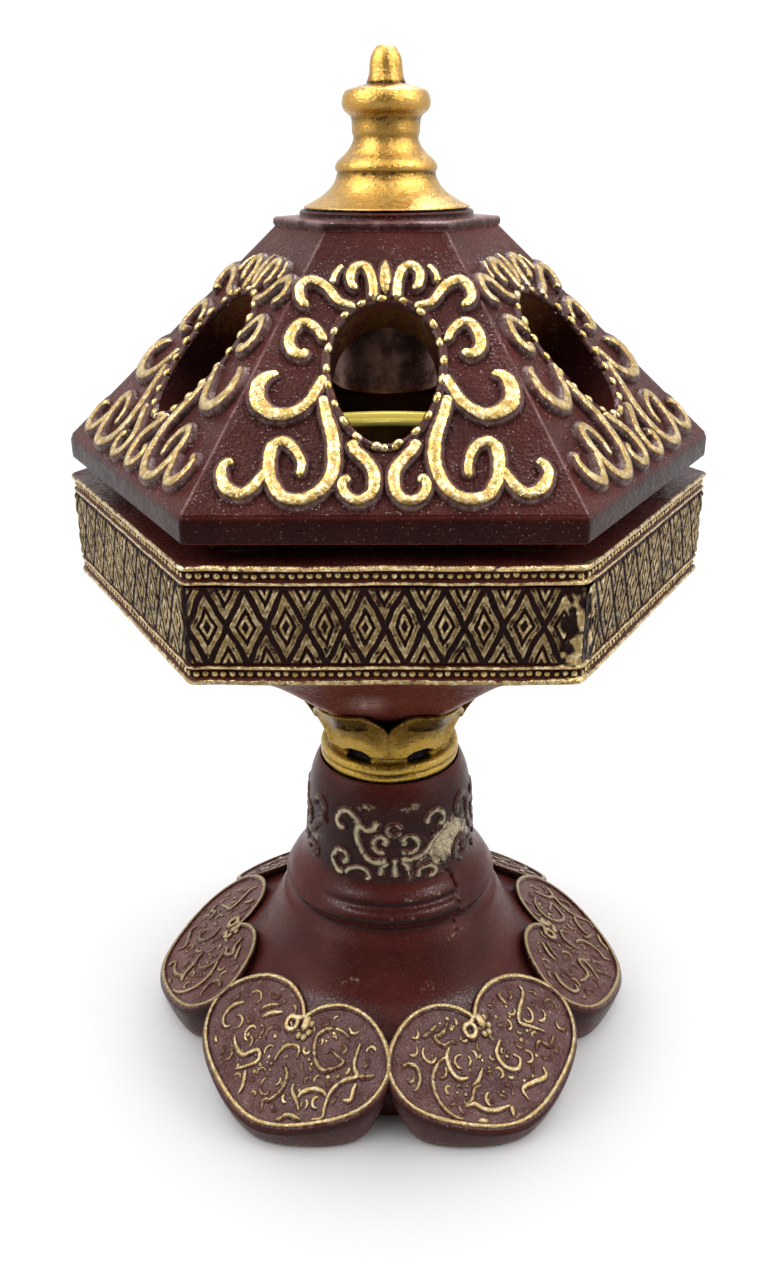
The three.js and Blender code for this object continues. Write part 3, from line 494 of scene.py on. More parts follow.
FRONT_LEFT_TENDRILS = [
    [(36.3, 11.5), (35.8, 8.7), (36.7, 5.9), (38.4, 4.6), (40.6, 5.1), (42.6, 7), (43.2, 9.2), (41.9, 11.3),
     (40.5, 12.5), (40, 10.5), (39.6, 8.6), (40.5, 8.2)],
    [(36.1, 14), (39.9, 14.7), (41.6, 16.4), (42.8, 14.7), (44.3, 13.3), (46.5, 12.6), (48.7, 12.9),
     (50.4, 13.5), (53, 13.6)],
    [(50.4, 13.5), (50.8, 14.9), (51.3, 15.6)],
    [(41.6, 16.4), (40.8, 18.4), (39.9, 19.8)],
    [(49.4, 6.7), (48.1, 7), (46.7, 9), (46.4, 11.3), (46.9, 12.5)],
    [(47.2, 4.4), (48.7, 5), (49.9, 7), (51.1, 8.2)],
    [(54.3, 4.3), (53.6, 4.9), (52.4, 6.2), (52.1, 8.5), (52.8, 10.3)],
    [(42.4, 16.9), (43.8, 16.9), (45.5, 17.2), (46.1, 15.6)],
    [(45, 0.3), (46.4, 2.1), (48.9, 2.6), (51.3, 1.3), (52, -0.1), (54, 0.6)],
    [(43.8, -13.7), (45.4, -12.1), (46.5, -9.5), (44.8, -6.7), (46.1, -5.4), (47.5, -6.6), (49.3, -9.7)],
    [(48.5, -7.2), (51.4, -6), (53, -6.2)],
    [(38.5, -10.8), (37, -9.6), (35.7, -6.5)],
    [(39.1, -9.5), (37.8, -7.7), (36.9, -5.2)],
    [(45.5, -1.9), (43.8, -1.8), (42, -0.8), (41.5, 1.8), (43.5, 2.7)],
    [(37.5, -15), (39, -17.5), (41.5, -18.3), (43, -17), (42.4, -15.4)],
]
FRONT_RIGHT_TENDRILS = [
    [(34.8, -5.5), (36.5, -7.8), (36.7, -10), (38.5, -9), (38.5, -7), (39.5, -6)],
    [(39.2, -7.9), (40.4, -9.4), (42.2, -9.9), (44, -9.6), (45, -8.6), (45.3, -6.8)],
    [(40.4, -9.4), (40.9, -11.7), (42.4, -13.9), (44.9, -15), (47.9, -14.6), (50, -13.2), (51.6, -12.2)],
    [(38.7, -19.2), (38.7, -17.7), (39.9, -16.4), (41.8, -16.6), (43.1, -18.3), (42.8, -19.2)],
    [(49.2, -10.5), (49.6, -8.3), (50.9, -7.1), (52.1, -4.6), (52.3, -1)],
    [(49.2, -10.5), (48.7, -8.1), (47.3, -6.8), (47.3, -4.8)],
    [(52.2, -9.2), (53.3, -7.9), (53.8, -7.4)],
    [(33.6, 13.6), (35.4, 13.7), (37.8, 11.1), (40.1, 9.5), (41.5, 11.6), (43.3, 14.3)],
    [(44.4, 15.8), (45.7, 13.5), (44.4, 11.8), (45.8, 9.9)],
    [(48.5, 9.7), (50.4, 9.3), (50.5, 5.8), (50.8, 3), (52.9, 3.2)],
    [(33.6, 8.1), (34.9, 8), (36.6, 9)],
    [(44.7, -3), (46.4, -5.4), (46.8, -7.3)],
    [(52.3, -1), (53.6, -1.4), (54.6, -1.7)],
    [(35.8, -12.7), (35.5, -10.5), (34.8, -8.3)],
    [(41.5, 3.5), (43.5, 1.2), (46.2, 1.6), (47.4, 4), (46, 5.6), (44.6, 4.4)],
]


def add_petal_border(shape, place, seed):
    """Border line with the two curls that meet in the notch."""
    outline = drawn_in(heart_outline(240), 0.85)
    width = 1 + 0.12 * wave(np.arange(240), 80, seed)
    bulge = list(zip(np.linspace(0, 1, 240), width))
    strand(shape, outline, 0.85, 0.7, place, bulge=bulge, closed=True, gilt=0.82, flank=0.2)
    ring = arc((38.2, -2.1), 1.25, 0.6, 6.4, 16)
    strand(shape, [(36.1, -0.2), (36.9, -0.9)] + ring[8:] + ring[:7], 0.95, 0.75, place)
    strand(shape, [(36.0, 0.3), (37.2, 1.0), (38.8, 1.0)], 1.7, 0.8, place)
    for at in ((39.7, 0.6), (38.5, 2.4), (36.9, 2.2), (39.6, 1.8)):
        bead(shape, at, 0.8, place)


def kept_inside(path, outline):
    """The path, with points beyond the petal's field drawn in to its edge."""
    away = np.asarray(path) - PETAL_MIDDLE
    limit = reach(outline, PETAL_MIDDLE, np.asarray(path))
    return PETAL_MIDDLE + away * np.minimum(1, limit / np.hypot(*away.T))[:, None]


def encloses(outline, at):
    """Whether the outline goes round the place."""
    ahead = np.roll(outline, -1, 0)
    crosses = (outline[:, 1] > at[1]) != (ahead[:, 1] > at[1])
    slope = (ahead[:, 0] - outline[:, 0]) / np.where(crosses, ahead[:, 1] - outline[:, 1], 1)
    return np.sum(crosses & (at[0] < outline[:, 0] + (at[1] - outline[:, 1]) * slope)) % 2 == 1


def small_curls(seed, taken):
    """Small curls that fill the room left between the tendrils."""
    rng = np.random.default_rng(seed)
    field = drawn_in(heart_outline(90), 3.2)
    curls = []
    for _ in range(1500):
        at = np.array([rng.uniform(PETAL_LOBE, PETAL_TIP), rng.uniform(-1, 1) * PETAL_HALF_WIDTH])
        radius = rng.uniform(0.8, 1.9)
        start, turn = rng.uniform(0, 2 * math.pi), rng.choice([-1, 1]) * rng.uniform(2.2, 4.6)
        t = np.linspace(0, 1, 9)
        spiral = radius * (1 - 0.45 * t)
        curl = at + np.stack([spiral * np.cos(start + turn * t), spiral * np.sin(start + turn * t)], 1)
        gap = np.min(np.hypot(*(curl[:, None] - taken[None]).transpose(2, 0, 1)))
        if gap > 0.8 and all(encloses(field, place) for place in curl[::4]):
            curls.append(curl)
            taken = np.vstack([taken, curl])
    return curls


def petal_relief_shape(k, height):
    """Gilded border and worn tendrils of petal k."""
    shape = Shape()
    place = on_petal(k)
    add_petal_border(shape, place, k)
    table = FRONT_LEFT_TENDRILS if k % 2 == 0 else FRONT_RIGHT_TENDRILS
    flip = -1 if k in (2, 3) else 1
    taper = [(0, 0.6), (0.3, 1.1), (0.7, 1.0), (1, 0.45)]
    lines = []
    field = drawn_in(heart_outline(180), 1.9)
    for i, path in enumerate(table):
        path = kept_inside([(out, side * flip) for out, side in path], field)
        worn = 0.74 + 0.16 * math.sin(i * 2.4 + k)
        line = strand(shape, path, 0.85, height, place, bulge=taper, gilt=worn, spacing=0.35, flank=0.15)
        lines.append(line)
    for i, curl in enumerate(small_curls(60 + k, np.vstack(lines))):
        worn = 0.64 + 0.2 * math.sin(i * 1.9)
        strand(shape, curl, 0.62, 0.6 * height, place, bulge=taper, gilt=worn, flank=0.15)
    spots = np.random.default_rng(20 + k)
    for _ in range(70):
        out = spots.uniform(PETAL_LOBE + 4, PETAL_TIP - 6)
        side = spots.uniform(-15, 15) * (1 - abs(out - 43) / 22)
        if out < 41 and abs(side) < 4:
            continue
        bead(shape, (out, side), spots.uniform(0.25, 0.6), place, gilt=spots.uniform(0.5, 0.9), squash=0.35)
    return shape


# Column ornament: distance round the column and height

PALMETTE = [
    ([(-0.6, 52.1), (-2.5, 52), (-3.4, 53.4), (-3, 55.1), (-1.6, 55.7), (-0.6, 54.9), (-0.9, 53.7)], 1.3),
    ([(2.6, 52), (4.5, 51.4), (6.2, 52.7), (6.1, 54.6), (4.5, 55.5), (3.2, 54.9), (3, 53.8)], 1.3),
    ([(-0.1, 50.2), (-2.5, 49.4), (-4.7, 50.1), (-6, 52), (-7, 54.4), (-7.1, 56.5), (-6.5, 57.9),
      (-4.9, 57), (-2.9, 57.9), (-2.6, 59.5)], 1.5),
    ([(-6.5, 57.9), (-7.7, 59.5), (-9.4, 60.6), (-11.4, 59.9), (-12.1, 57.8), (-11.1, 56.3),
      (-9.7, 56.9)], 1.5),
    ([(2.4, 50.4), (4, 50.0), (6.2, 50.1), (8.5, 51.4), (9.8, 53.3), (11.7, 54.8), (13.8, 56.5)], 1.5),
    ([(8.4, 57.6), (9.2, 59.6), (11.2, 60.3), (12.9, 59), (12.6, 57.2), (11.2, 57.2)], 1.3),
    ([(1.3, 50.6), (1.2, 47.6), (1.3, 45.6)], 1.5),
    ([(0.2, 49.5), (-1.4, 48.2), (-1.8, 46)], 1.3),
    ([(2.4, 49.4), (3.8, 48.3), (4.3, 45.9)], 1.3),
    ([(-9.5, 45.2), (-8.8, 46.7), (-6.4, 47.6), (-4.7, 46.9), (-4.2, 45.6), (-5.4, 45.1)], 1.1),
    ([(6.2, 45.2), (6.8, 47.1), (8.9, 47.5), (10.4, 46.2), (9.7, 45.1), (8.4, 45.5)], 1.1),
    ([(-9.9, 45.3), (-11.7, 45.6), (-13.2, 47.7), (-12, 50.2), (-10, 50.3), (-9.6, 48.6),
      (-10.7, 47.4)], 1.4),
]


def palmette_shape(height):
    """Four worn palmettes round the column."""
    shape = Shape()
    blobbed = [(0, 1.25), (0.2, 0.9), (0.8, 0.9), (1, 1.3)]
    for turn, gilt in enumerate((0.84, 0.46, 0.72, 0.46)):
        place = on_column(turn * math.pi / 2)
        for path, width in PALMETTE:
            strand(shape, path, width, height, place, bulge=blobbed, gilt=gilt, flank=0.2)
        ring = arc((1.1, 57.1), 1.5, 0, 6.1, 14)
        strand(shape, ring, 0.8, 0.8 * height, place, gilt=0.8 * gilt, flank=0.3)
        bead(shape, (1.1, 57.2), 0.6, place, gilt=0.7 * gilt, squash=0.5)
        for x in (-0.9, 3.3):
            bead(shape, (x, 53.9), 0.95, place, gilt=gilt, squash=0.5)
    return shape


# Leaf collar, its sleeve and double base ring: radius, height and gilding, which dips in the groove between
# the rings so the gold there is painted darker as painted shade

COLLAR_BASE = [
    (14.6, 63.2, 0.2), (14.9, 66.9, 0.6), (15.15, 67.2, 0.9), (15.25, 67.7, 1), (15.1, 68.2, 0.9),
    (14.8, 68.5, 0.55), (15.1, 68.8, 0.9), (15.2, 69.4, 1), (15.1, 70.0, 1), (14.8, 70.5, 1),
    (14.3, 70.6, 0.8), (13.7, 70.5, 0.7),
]


def collar_shape():
    """Sleeve, base ring, scooped hollows under six flaring leaves, and a rib under each notch."""
    steps = 216
    angle = full_turn(steps)
    across_leaf = np.abs(np.cos(3 * angle))
    hollow = np.clip(np.cos(6 * angle) * 1.4 - 0.2, 0, 1) ** 0.6
    rib = np.clip(-np.cos(6 * angle), 0, 1) ** 10
    uneven = wave(np.degrees(angle), 71, 4)
    rows = []
    gilding = []

    def row(radius, z, gilt):
        radius = radius + 0 * angle
        rows.append(np.stack([radius * np.cos(angle), radius * np.sin(angle), z + 0 * angle], 1))
        gilding.append(gilt + 0 * angle)

    for radius, z, gilt in COLLAR_BASE:
        row(radius, z + 0.12 * uneven, gilt)
    # Gilding falls away in the scooped hollows, where the near-black lacquer of aged_gilding paints their
    # shadow.
    row(13.3 - 0.9 * hollow, 70.6, 0.75 - 0.75 * hollow)
    row(13.2 - 1.3 * hollow, 71.2 + 0.5 * hollow, 0.85 - 0.85 * hollow)
    row(13.3 - 1.1 * hollow, 71.7 + 1.1 * hollow, 0.9 - 0.9 * hollow)
    row(13.9 + 0.3 * rib, 71.9 + 1.3 * hollow, 1)
    row(14.0 + 0.5 * rib, 72.3 + 1.3 * hollow, 0.9)
    rise = np.clip(across_leaf / 0.75, 0, 1) ** 0.85
    rim_radius = 18.0 + 4.3 * across_leaf ** 1.2 + 0.2 * uneven
    rim_z = 80.3 + 4.9 * rise + 0.15 * uneven
    foot_radius, foot_z = 13.9 + 0.5 * rib, 72.8 + 1.3 * hollow
    for share in (0.08, 0.2, 0.33, 0.46, 0.6, 0.74, 0.87):
        flare = share ** (1.25 + 0.25 * across_leaf)
        fold = 0.5 * rib * (1 - share) - 0.35 * across_leaf * math.sin(math.pi * share)
        shaded = 0.34 * across_leaf ** 0.7 * math.sin(math.pi * share) ** 1.5
        radius = foot_radius + (rim_radius - foot_radius) * flare + fold
        row(radius, foot_z + (rim_z - foot_z) * share, 1 - shaded)
    row(rim_radius + 0.1, rim_z - 0.6, 1)
    row(rim_radius + 0.3, rim_z - 0.2, 1)
    row(rim_radius, rim_z + 0.1, 1)
    row(rim_radius - 0.7, rim_z, 0.8)
    row(np.maximum(rim_radius - 3.2, 12.9), np.minimum(rim_z - 1.6, 80.4), 0.4)
    row(12.6, 78, 0.1)
    row(11.3, 76, 0.1)
    row(11.3, 63.2, 0.1)
    points = np.array(rows)
    shape = Shape()
    faces = grid_faces(len(points), steps, closed=True, looped=True)
    shape.add(points, faces, np.array(gilding))
    return shape


# Tray

# Underside, from the stem to the band: shares of the reach and of the drop
UNDERSIDE = [
    (0.0, 1.0), (0.046, 0.91), (0.149, 0.789), (0.34, 0.559), (0.542, 0.32), (0.73, 0.145), (0.865, 0.045),
    (0.952, 0.01),
]
# One moulding, from the tray's edge inwards: corner radius, height and gilding
MOULDING_PROFILE = [
    (63.7, 0.0, 0.8), (64.0, 0.3, 1), (63.9, 0.75, 1), (63.3, 1.05, 0.4), (62.9, 1.3, 0), (62.9, 2.35, 0),
    (63.3, 2.6, 0.3), (63.75, 2.85, 1), (63.75, 3.2, 1), (63.3, 3.45, 0.5),
]
# Kerb, well wall and well floor: radius and height
KERB_AND_WELL = [
    (44.4, 130), (44.4, 131.2), (44.2, 131.4), (37.4, 131.4), (37, 131), (37, 106), (35.2, 101.8),
    (31, 100), (ROD_HOLE, 100),
]


def hex_ring(corner, z, rounding=0.9, per_side=28):
    """A hexagon of even points with slightly rounded corners."""
    points = []
    cut = min(rounding, corner * 0.2)
    ends = circle(corner, z, np.arange(-1, SIDES + 1) * SIDE_ANGLE)[:, :2]
    for before, a, b in zip(ends, ends[1:], ends[2:]):
        start = a + (before - a) / corner * cut
        leave = a + (b - a) / corner * cut
        for t in np.linspace(0, 1, 5)[:-1]:
            points.append(start * (1 - t) ** 2 + 2 * a * t * (1 - t) + leave * t**2)
        end = b + (a - b) / corner * cut
        for t in np.linspace(0, 1, per_side, endpoint=False):
            points.append(leave + (end - leave) * t)
    points = np.array(points)
    return np.column_stack([points, np.full(len(points), z)])


def tray_shape(seed=5):
    """Curved underside, two mouldings round a sunk field, ledge, kerb and well."""
    run, drop = TRAY_CORNER - STEM_CORNER, BAND_BASE - SEAT_Z
    under = smooth_path([(STEM_CORNER + a * run, BAND_BASE - b * drop) for a, b in UNDERSIDE], 1.6)
    rows = [(r, z, 0.0) for r, z in under]

    def moulding(base, upward):
        if upward:
            return [(r, base + z, g) for r, z, g in MOULDING_PROFILE]
        return [(r, base + MOULDING - z, g) for r, z, g in reversed(MOULDING_PROFILE)]

    rows += moulding(BAND_BASE, True)
    low, high = BAND_BASE + MOULDING, TRAY_TOP - MOULDING
    rows += [(FIELD_CORNER + 0.1, low + 0.1, 0), (FIELD_CORNER, low + 0.6, 0)]
    rows += [(FIELD_CORNER, high - 0.6, 0), (FIELD_CORNER + 0.1, high - 0.1, 0)]
    rows += moulding(high, False)
    rows += [(63.2, TRAY_TOP, 0.6), (62.6, TRAY_TOP - 0.1, 0.1)]
    rows += [(60, TRAY_TOP - 0.15, 0), (56, TRAY_TOP - 0.1, 0)]
    rings = [hex_ring(r, z, rounding=min(1.1, r * 0.05)) for r, z, _ in rows]
    angle = np.arctan2(rings[-1][:, 1], rings[-1][:, 0])
    gilding = [np.full(len(angle), g) for _, _, g in rows]
    length = np.degrees(angle) * 1.1
    corner = np.degrees(np.abs(wrapped(angle + SIDE_ANGLE)))
    for i, (r, z, _) in enumerate(rows):
        if z < BAND_BASE or r < 61:
            continue
        push = 1 + (0.11 * wave(length, 37, seed) + 0.06 * wave(length, 9, seed + 2)) / 60
        rings[i][:, :2] *= push[:, None]
        rings[i][:, 2] += 0.1 * wave(length, 29, seed + 1)
        gilding[i] = np.clip(gilding[i] + 0.8 * hump(corner / 3.2), 0, 1)
    for r, z in KERB_AND_WELL:
        rings.append(circle(r, z, angle))
        gilding.append(np.zeros(len(angle)))
    points = np.array(rings)
    shape = Shape()
    from_crease = np.degrees(wrapped(angle, SIDE_ANGLE))
    radius = np.hypot(points[..., 0], points[..., 1])
    below = (points[..., 2] < BAND_BASE - 1) * (radius > 14)
    # Pale marks on the underside: painted highlights along the creases, and real scratches at the front.
    scratched = hump((np.degrees(angle) + 99) / 7, (radius - 26) / 3.5)
    sheened_and_scratched = below * np.clip(0.9 * hump(from_crease / 1.1) + 0.8 * scratched, 0, 1)
    faces = grid_faces(len(points), len(angle), closed=True)
    shape.add(points, faces, np.array(gilding), 0.3, sheened_and_scratched)
    seat = np.array([circle(r, SEAT_Z, angle) for r in (ROD_HOLE, STEM_CORNER)])
    shape.add(seat, grid_faces(2, len(angle), closed=True))
    return shape


def bead_row_shape(per_side, size):
    """Beads in the channels of both mouldings."""
    shape = Shape()
    half = CHANNEL_CORNER / 2
    for k in range(SIDES):
        for z, seed in ((BAND_BASE + 1.8, 1), (TRAY_TOP - 1.8, 2)):
            place = on_band(k, CHANNEL_CORNER * APOTHEM_SHARE)
            rng = np.random.default_rng(100 + 10 * k + seed)
            for i in range(per_side):
                x = -half + (i + 0.5) * 2 * half / per_side
                jitter = rng.normal(0, 0.05, 2)
                at = (x + jitter[0], z + 0.1 * wave(x, 29, k + seed) + jitter[1])
                here = size * rng.uniform(0.88, 1.08)
                bead(shape, at, here, place, gilt=rng.uniform(0.88, 1.0), squash=0.85)
    return shape


# The two ridges of a diamond: place and half width, then how far out the painted highlights along their edges
# lie
RIDGES = ((0.69, 0.18, 0.13), (0.27, 0.105, 0.06))


def frieze_shape(k, diamonds, depth):
    """Nested diamonds with chevrons between them, cut by hand."""
    width = FIELD_CORNER + 1 / APOTHEM_SHARE - 0.1
    low = BAND_BASE + MOULDING + 0.15
    high = TRAY_TOP - MOULDING - 0.15
    columns, rows = 400, 64
    x = np.linspace(-width / 2, width / 2, columns)[None, :] + np.zeros((rows, 1))
    z = np.linspace(low, high, rows)[:, None] + np.zeros((1, columns))
    middle = (low + high) / 2
    half = (high - low) / 2
    pitch = width / diamonds
    shift = 0.16 * wave(x * 0.8 + z, 11, k) + 0.1 * wave(z * 1.3 - x, 7, k + 3)
    rise = 0.2 * wave(x + z, 17, k + 5)
    a = (x + shift) / pitch
    b = (z + rise - middle) / half
    to_centre = np.abs(a - np.floor(a) - 0.5) * 2 + np.abs(b)
    to_chevron = np.abs(a - np.round(a)) * 2 + np.abs(1 - np.abs(b))
    nested = np.minimum(to_centre, to_chevron)
    ridge = sum(np.exp(-(((nested - at) / spread) ** 4)) for at, spread, _ in RIDGES)
    bright = sum(hump((np.abs(nested - at) - edge) / 0.04) for at, _, edge in RIDGES)
    worn = 0.5 + 0.5 * wave(x * 0.7 - z, 23, k + 1)
    border = np.minimum(width / 2 - np.abs(x), half - np.abs(z - middle))
    edge = np.clip(border / 0.5, 0, 1)
    # The first two sides meet at an over-gilded corner
    gilt_end = {0: 1, 1: -1}.get(k, 0)
    smear = hump((width / 2 - gilt_end * x) / 3.2) * abs(gilt_end)
    lumps = np.full(x.shape, 0.45)
    rng = np.random.default_rng(70 + k)
    for _ in range(60 if gilt_end else 0):
        lump_x, lump_z = gilt_end * (width / 2 - rng.uniform(0, 6)), rng.uniform(low, high)
        size, swell = rng.uniform(0.4, 1.3), rng.choice([-0.5, 0.45])
        lumps += swell * hump((x - lump_x) / size, (z - lump_z) / size)
    lumps = np.clip(lumps, 0, 1)
    lift = depth * (ridge * edge * (1 - 0.8 * smear) * (0.85 + 0.15 * worn) + 1.1 * smear * lumps)
    place = on_band(k, FIELD_CORNER * APOTHEM_SHARE + 1)
    shape = Shape()
    # Ridge gilding, unevenly worn, and fuller along the ridges' edges, where it paints highlights.
    worn_and_lit_ridges = ridge * edge * (0.64 + 0.1 * worn + 0.36 * bright) * (1 - smear)
    gilding = np.clip(worn_and_lit_ridges + 1.5 * smear * lumps, 0, 1)
    shape.add(place(x, z, lift), grid_faces(rows, columns), gilding)
    return shape


# Cup

def cup_shape():
    """Spun bowl with a flange and rolled rim."""
    foot = (30.8, 112.8)
    outside = arc(foot, 2.6, -math.pi / 2, 0, 7) + [(35.6, 131.2), (35.9, 131.7)]
    roll = arc((39.3, 132.8), 1.1, -math.pi / 2, math.pi * 0.85, 12)
    inside = [(38.2, 132.6), (36.6, 132.6), (35.2, 132.3), (34.8, 131.4)] + arc(foot, 1.6, 0, -math.pi / 2, 6)
    profile = [(0.01, 110.2)] + outside + roll + inside + [(0.01, 111.2)]
    shape = Shape()
    points = turned(profile, 144)
    # How much painted light and glow the rim gets, rising to the top of the roll.
    bright = np.interp([z for _, z in profile], [131.4, 132.2, 132.7, 133.3], [0, 0.3, 0.85, 1.0])
    shape.add(points, grid_faces(len(profile), 144, closed=True), np.repeat(bright, 144))
    return shape


# Lid: inner lip and fascia, roof plate, then cap disc and boss

LID_LOWER = [
    (57.4, 137.6), (52.25, 136.2), (52.25, 130.4), (52.5, 130.3), (55.4, 130.3), (55.7, 130.5),
    (55.7, LID_BASE), (62.7, LID_BASE), (63.05, 133.5), (LID_CORNER, 134), (LID_CORNER, 136.7),
    (63.02, 137.2), (62.8, 137.65), (62.45, 138.05), (62.1, 138.35),
]
ROOF_PLATE = [
    (19.9, 176.2), (20.72, 176.6), (20.95, 176.9), (21.0, 177.3), (20.95, 177.9), (20.5, LID_TOP),
    (17.5, 178.15),
]
CAP_AND_BOSS = [
    (16.2, LID_TOP), (15.95, 178.5), (15.9, 179.1), (15.6, 179.4), (2.8, 179.4), (2.8, 156.2), (7.2, 156.2),
    (7.2, 148), (7.8, 147.6), (9.6, 147.7), (10.6, 148.4), (11, 149.6), (11, 174.2), (17.7, 174.2),
]


def window_outline(count, grow=0.0):
    """Egg-shaped window edge on a lid face."""
    turn = full_turn(count)
    across = (8.8 + grow) * np.cos(turn) * (1 + 0.1 * np.sin(turn))
    along = WINDOW_CENTRE + (13.2 + grow) * np.sin(turn)
    return np.stack([across, along], 1)


def half_width(v):
    """Half the width of a lid face, v up its slope."""
    return EAVES_HALF + (ROOF_HALF - EAVES_HALF) * v / SLANT


def face_outline(inset):
    """Edge of a lid face: eaves, right arris, top, left arris."""
    bottom, top = 0.45, SLANT
    v = np.linspace(bottom, top, 38)
    right = np.stack([half_width(v) - inset, v], 1)
    left = right[::-1] * [-1, 1]
    low = np.stack([np.linspace(-right[0, 0], right[0, 0], 44), np.full(44, bottom)], 1)
    high = np.stack([np.linspace(right[-1, 0], left[0, 0], 16), np.full(16, top)], 1)
    return np.vstack([low[:-1], right[:-1], high[:-1], left[:-1]]), len(low) - 1, len(v)


def to_inner_wall(points):
    """The points of the outer arris and edges carried to the inner pyramid."""
    z = points[..., 2:3]
    outer = LID_CORNER - (z - EAVES) * (LID_CORNER - ROOF_CORNER) / (SLOPE_TOP - EAVES)
    inset = LID_WALL / math.sin(SLOPE_ANGLE) / APOTHEM_SHARE
    return np.concatenate([points[..., :2] * (outer - inset) / outer, z], -1)


def stipple(u, v, lines):
    """How rough the cast ground is: rough close to the scrolls, smooth far from them."""
    centres = np.concatenate([line[::3] for line in lines])
    gap = np.min(np.hypot(u.ravel()[:, None] - centres[:, 0], v.ravel()[:, None] - centres[:, 1]), 1)
    return hump(np.clip(gap - 1.2, 0, None) / 2.6)


def lid_shape(lines):
    """Six pierced faces with rounded arrises, fascia, lip, roof plate, cap disc and boss."""
    shape = Shape()
    outline, corner, rows_up = face_outline(0.55)
    centre = np.array([0, WINDOW_CENTRE])
    away = outline - centre
    to_edge = reach(window_outline(720), centre, outline)[:, None]
    edge = centre + away / np.linalg.norm(away, axis=1, keepdims=True) * to_edge
    shares = np.array([0, 0.015, 0.04, 0.08, 0.14, 0.22, 0.31, 0.41, 0.52, 0.63, 0.74, 0.84, 0.93, 1])
    flat = edge[None] + (outline - edge)[None] * shares[:, None, None]
    u, v = flat[..., 0], flat[..., 1]
    rounding = np.zeros(u.shape)
    rounding[0] = -0.3
    rounding[1] = -0.08
    ground = 0.05 * wave(u + 0.6 * v, 13, 1) * wave(v - 0.4 * u, 9, 2) * (shares[:, None] < 0.95)
    rough = stipple(u, v, lines) * 0.65 + 0.35
    count = len(outline)
    for k in range(SIDES):
        place = on_lid_face(k)
        outer = place(u, v, rounding + ground)
        shape.add(outer, grid_faces(len(shares), count, closed=True), 0.0, rough)
        back = centre + (edge - centre) * 1.22
        deep = WINDOW_DEPTH - 2.7 * np.clip((WINDOW_CENTRE - edge[:, 1]) / 9, 0, 1)
        jamb = [place(*back.T, -LID_WALL)] + [
            place(*edge.T, -share * deep) for share in (1, 0.75, 0.4, 0.05)
        ]
        # Gold on each window's jamb, rising towards the top of the window.
        upper_jamb_gilding = 0.62 * np.clip((edge[:, 1] - WINDOW_CENTRE) / 9, 0, 1)
        shape.add(np.array(jamb), grid_faces(5, count, closed=True), np.tile(upper_jamb_gilding, 5), 0.3)
        border = to_inner_wall(place(*outline.T, 0))
        inner = border[None] + (jamb[0] - border)[None] * np.linspace(0, 1, 6)[:, None, None]
        shape.add(inner, grid_faces(6, count, closed=True), 0.0, 0.1)
    add_arrises(shape, outline, corner, rows_up)
    rings = np.array([hex_ring(r, z, rounding=0.55) for r, z in LID_LOWER])
    shape.add(rings, grid_faces(len(rings), rings.shape[1], closed=True), 0.0, 0.35)
    rings = np.array([hex_ring(r, z, rounding=0.5) for r, z in ROOF_PLATE])
    angle = np.arctan2(rings[-1][:, 1], rings[-1][:, 0])
    more = np.array([circle(r, z, angle) for r, z in CAP_AND_BOSS])
    points = np.concatenate([rings, more])
    # Painted sheen along the edges and top of the roof plate, and a painted highlight in six patches on the
    # bottom of the boss.
    sheened_and_scratched = np.zeros(points.shape[:2])
    sheened_and_scratched[0:8] = np.array([0.4, 0.35, 0.05, 0.05, 0.4, 0.4, 0.25, 0.22])[:, None]
    sheened_and_scratched[-7:-2] = 0.55 + 0.45 * np.cos(6 * (angle + math.pi / 2))
    shape.add(points, grid_faces(len(points), len(angle), closed=True), 0.0, 0.45, sheened_and_scratched)
    return shape


def add_arrises(shape, outline, corner, rows_up):
    """Rounded strips where two faces of the pyramid meet, with a painted highlight line and painted glints
    along each.
    """
    right = outline[corner : corner + rows_up]
    sharp = np.stack([half_width(right[:, 1]), right[:, 1]], 1)
    for k in range(SIDES):
        here = on_lid_face(k)(*right.T, 0)
        middle = on_lid_face(k)(*sharp.T, 0)
        there = on_lid_face(k + 1)(-right[:, 0], right[:, 1], 0)
        t = np.linspace(0, 1, 5)[:, None, None]
        strip = here[None] * (1 - t) ** 2 + middle[None] * 2 * t * (1 - t) + there[None] * t**2
        sheened_and_scratched = np.tile([0.02, 0.1, 0.45, 0.1, 0.02], rows_up)
        shape.add(strip.transpose(1, 0, 2), grid_faces(rows_up, 5), 0.0, 0.9, sheened_and_scratched)


# Scrollwork of half a lid face: distance across and up the slope

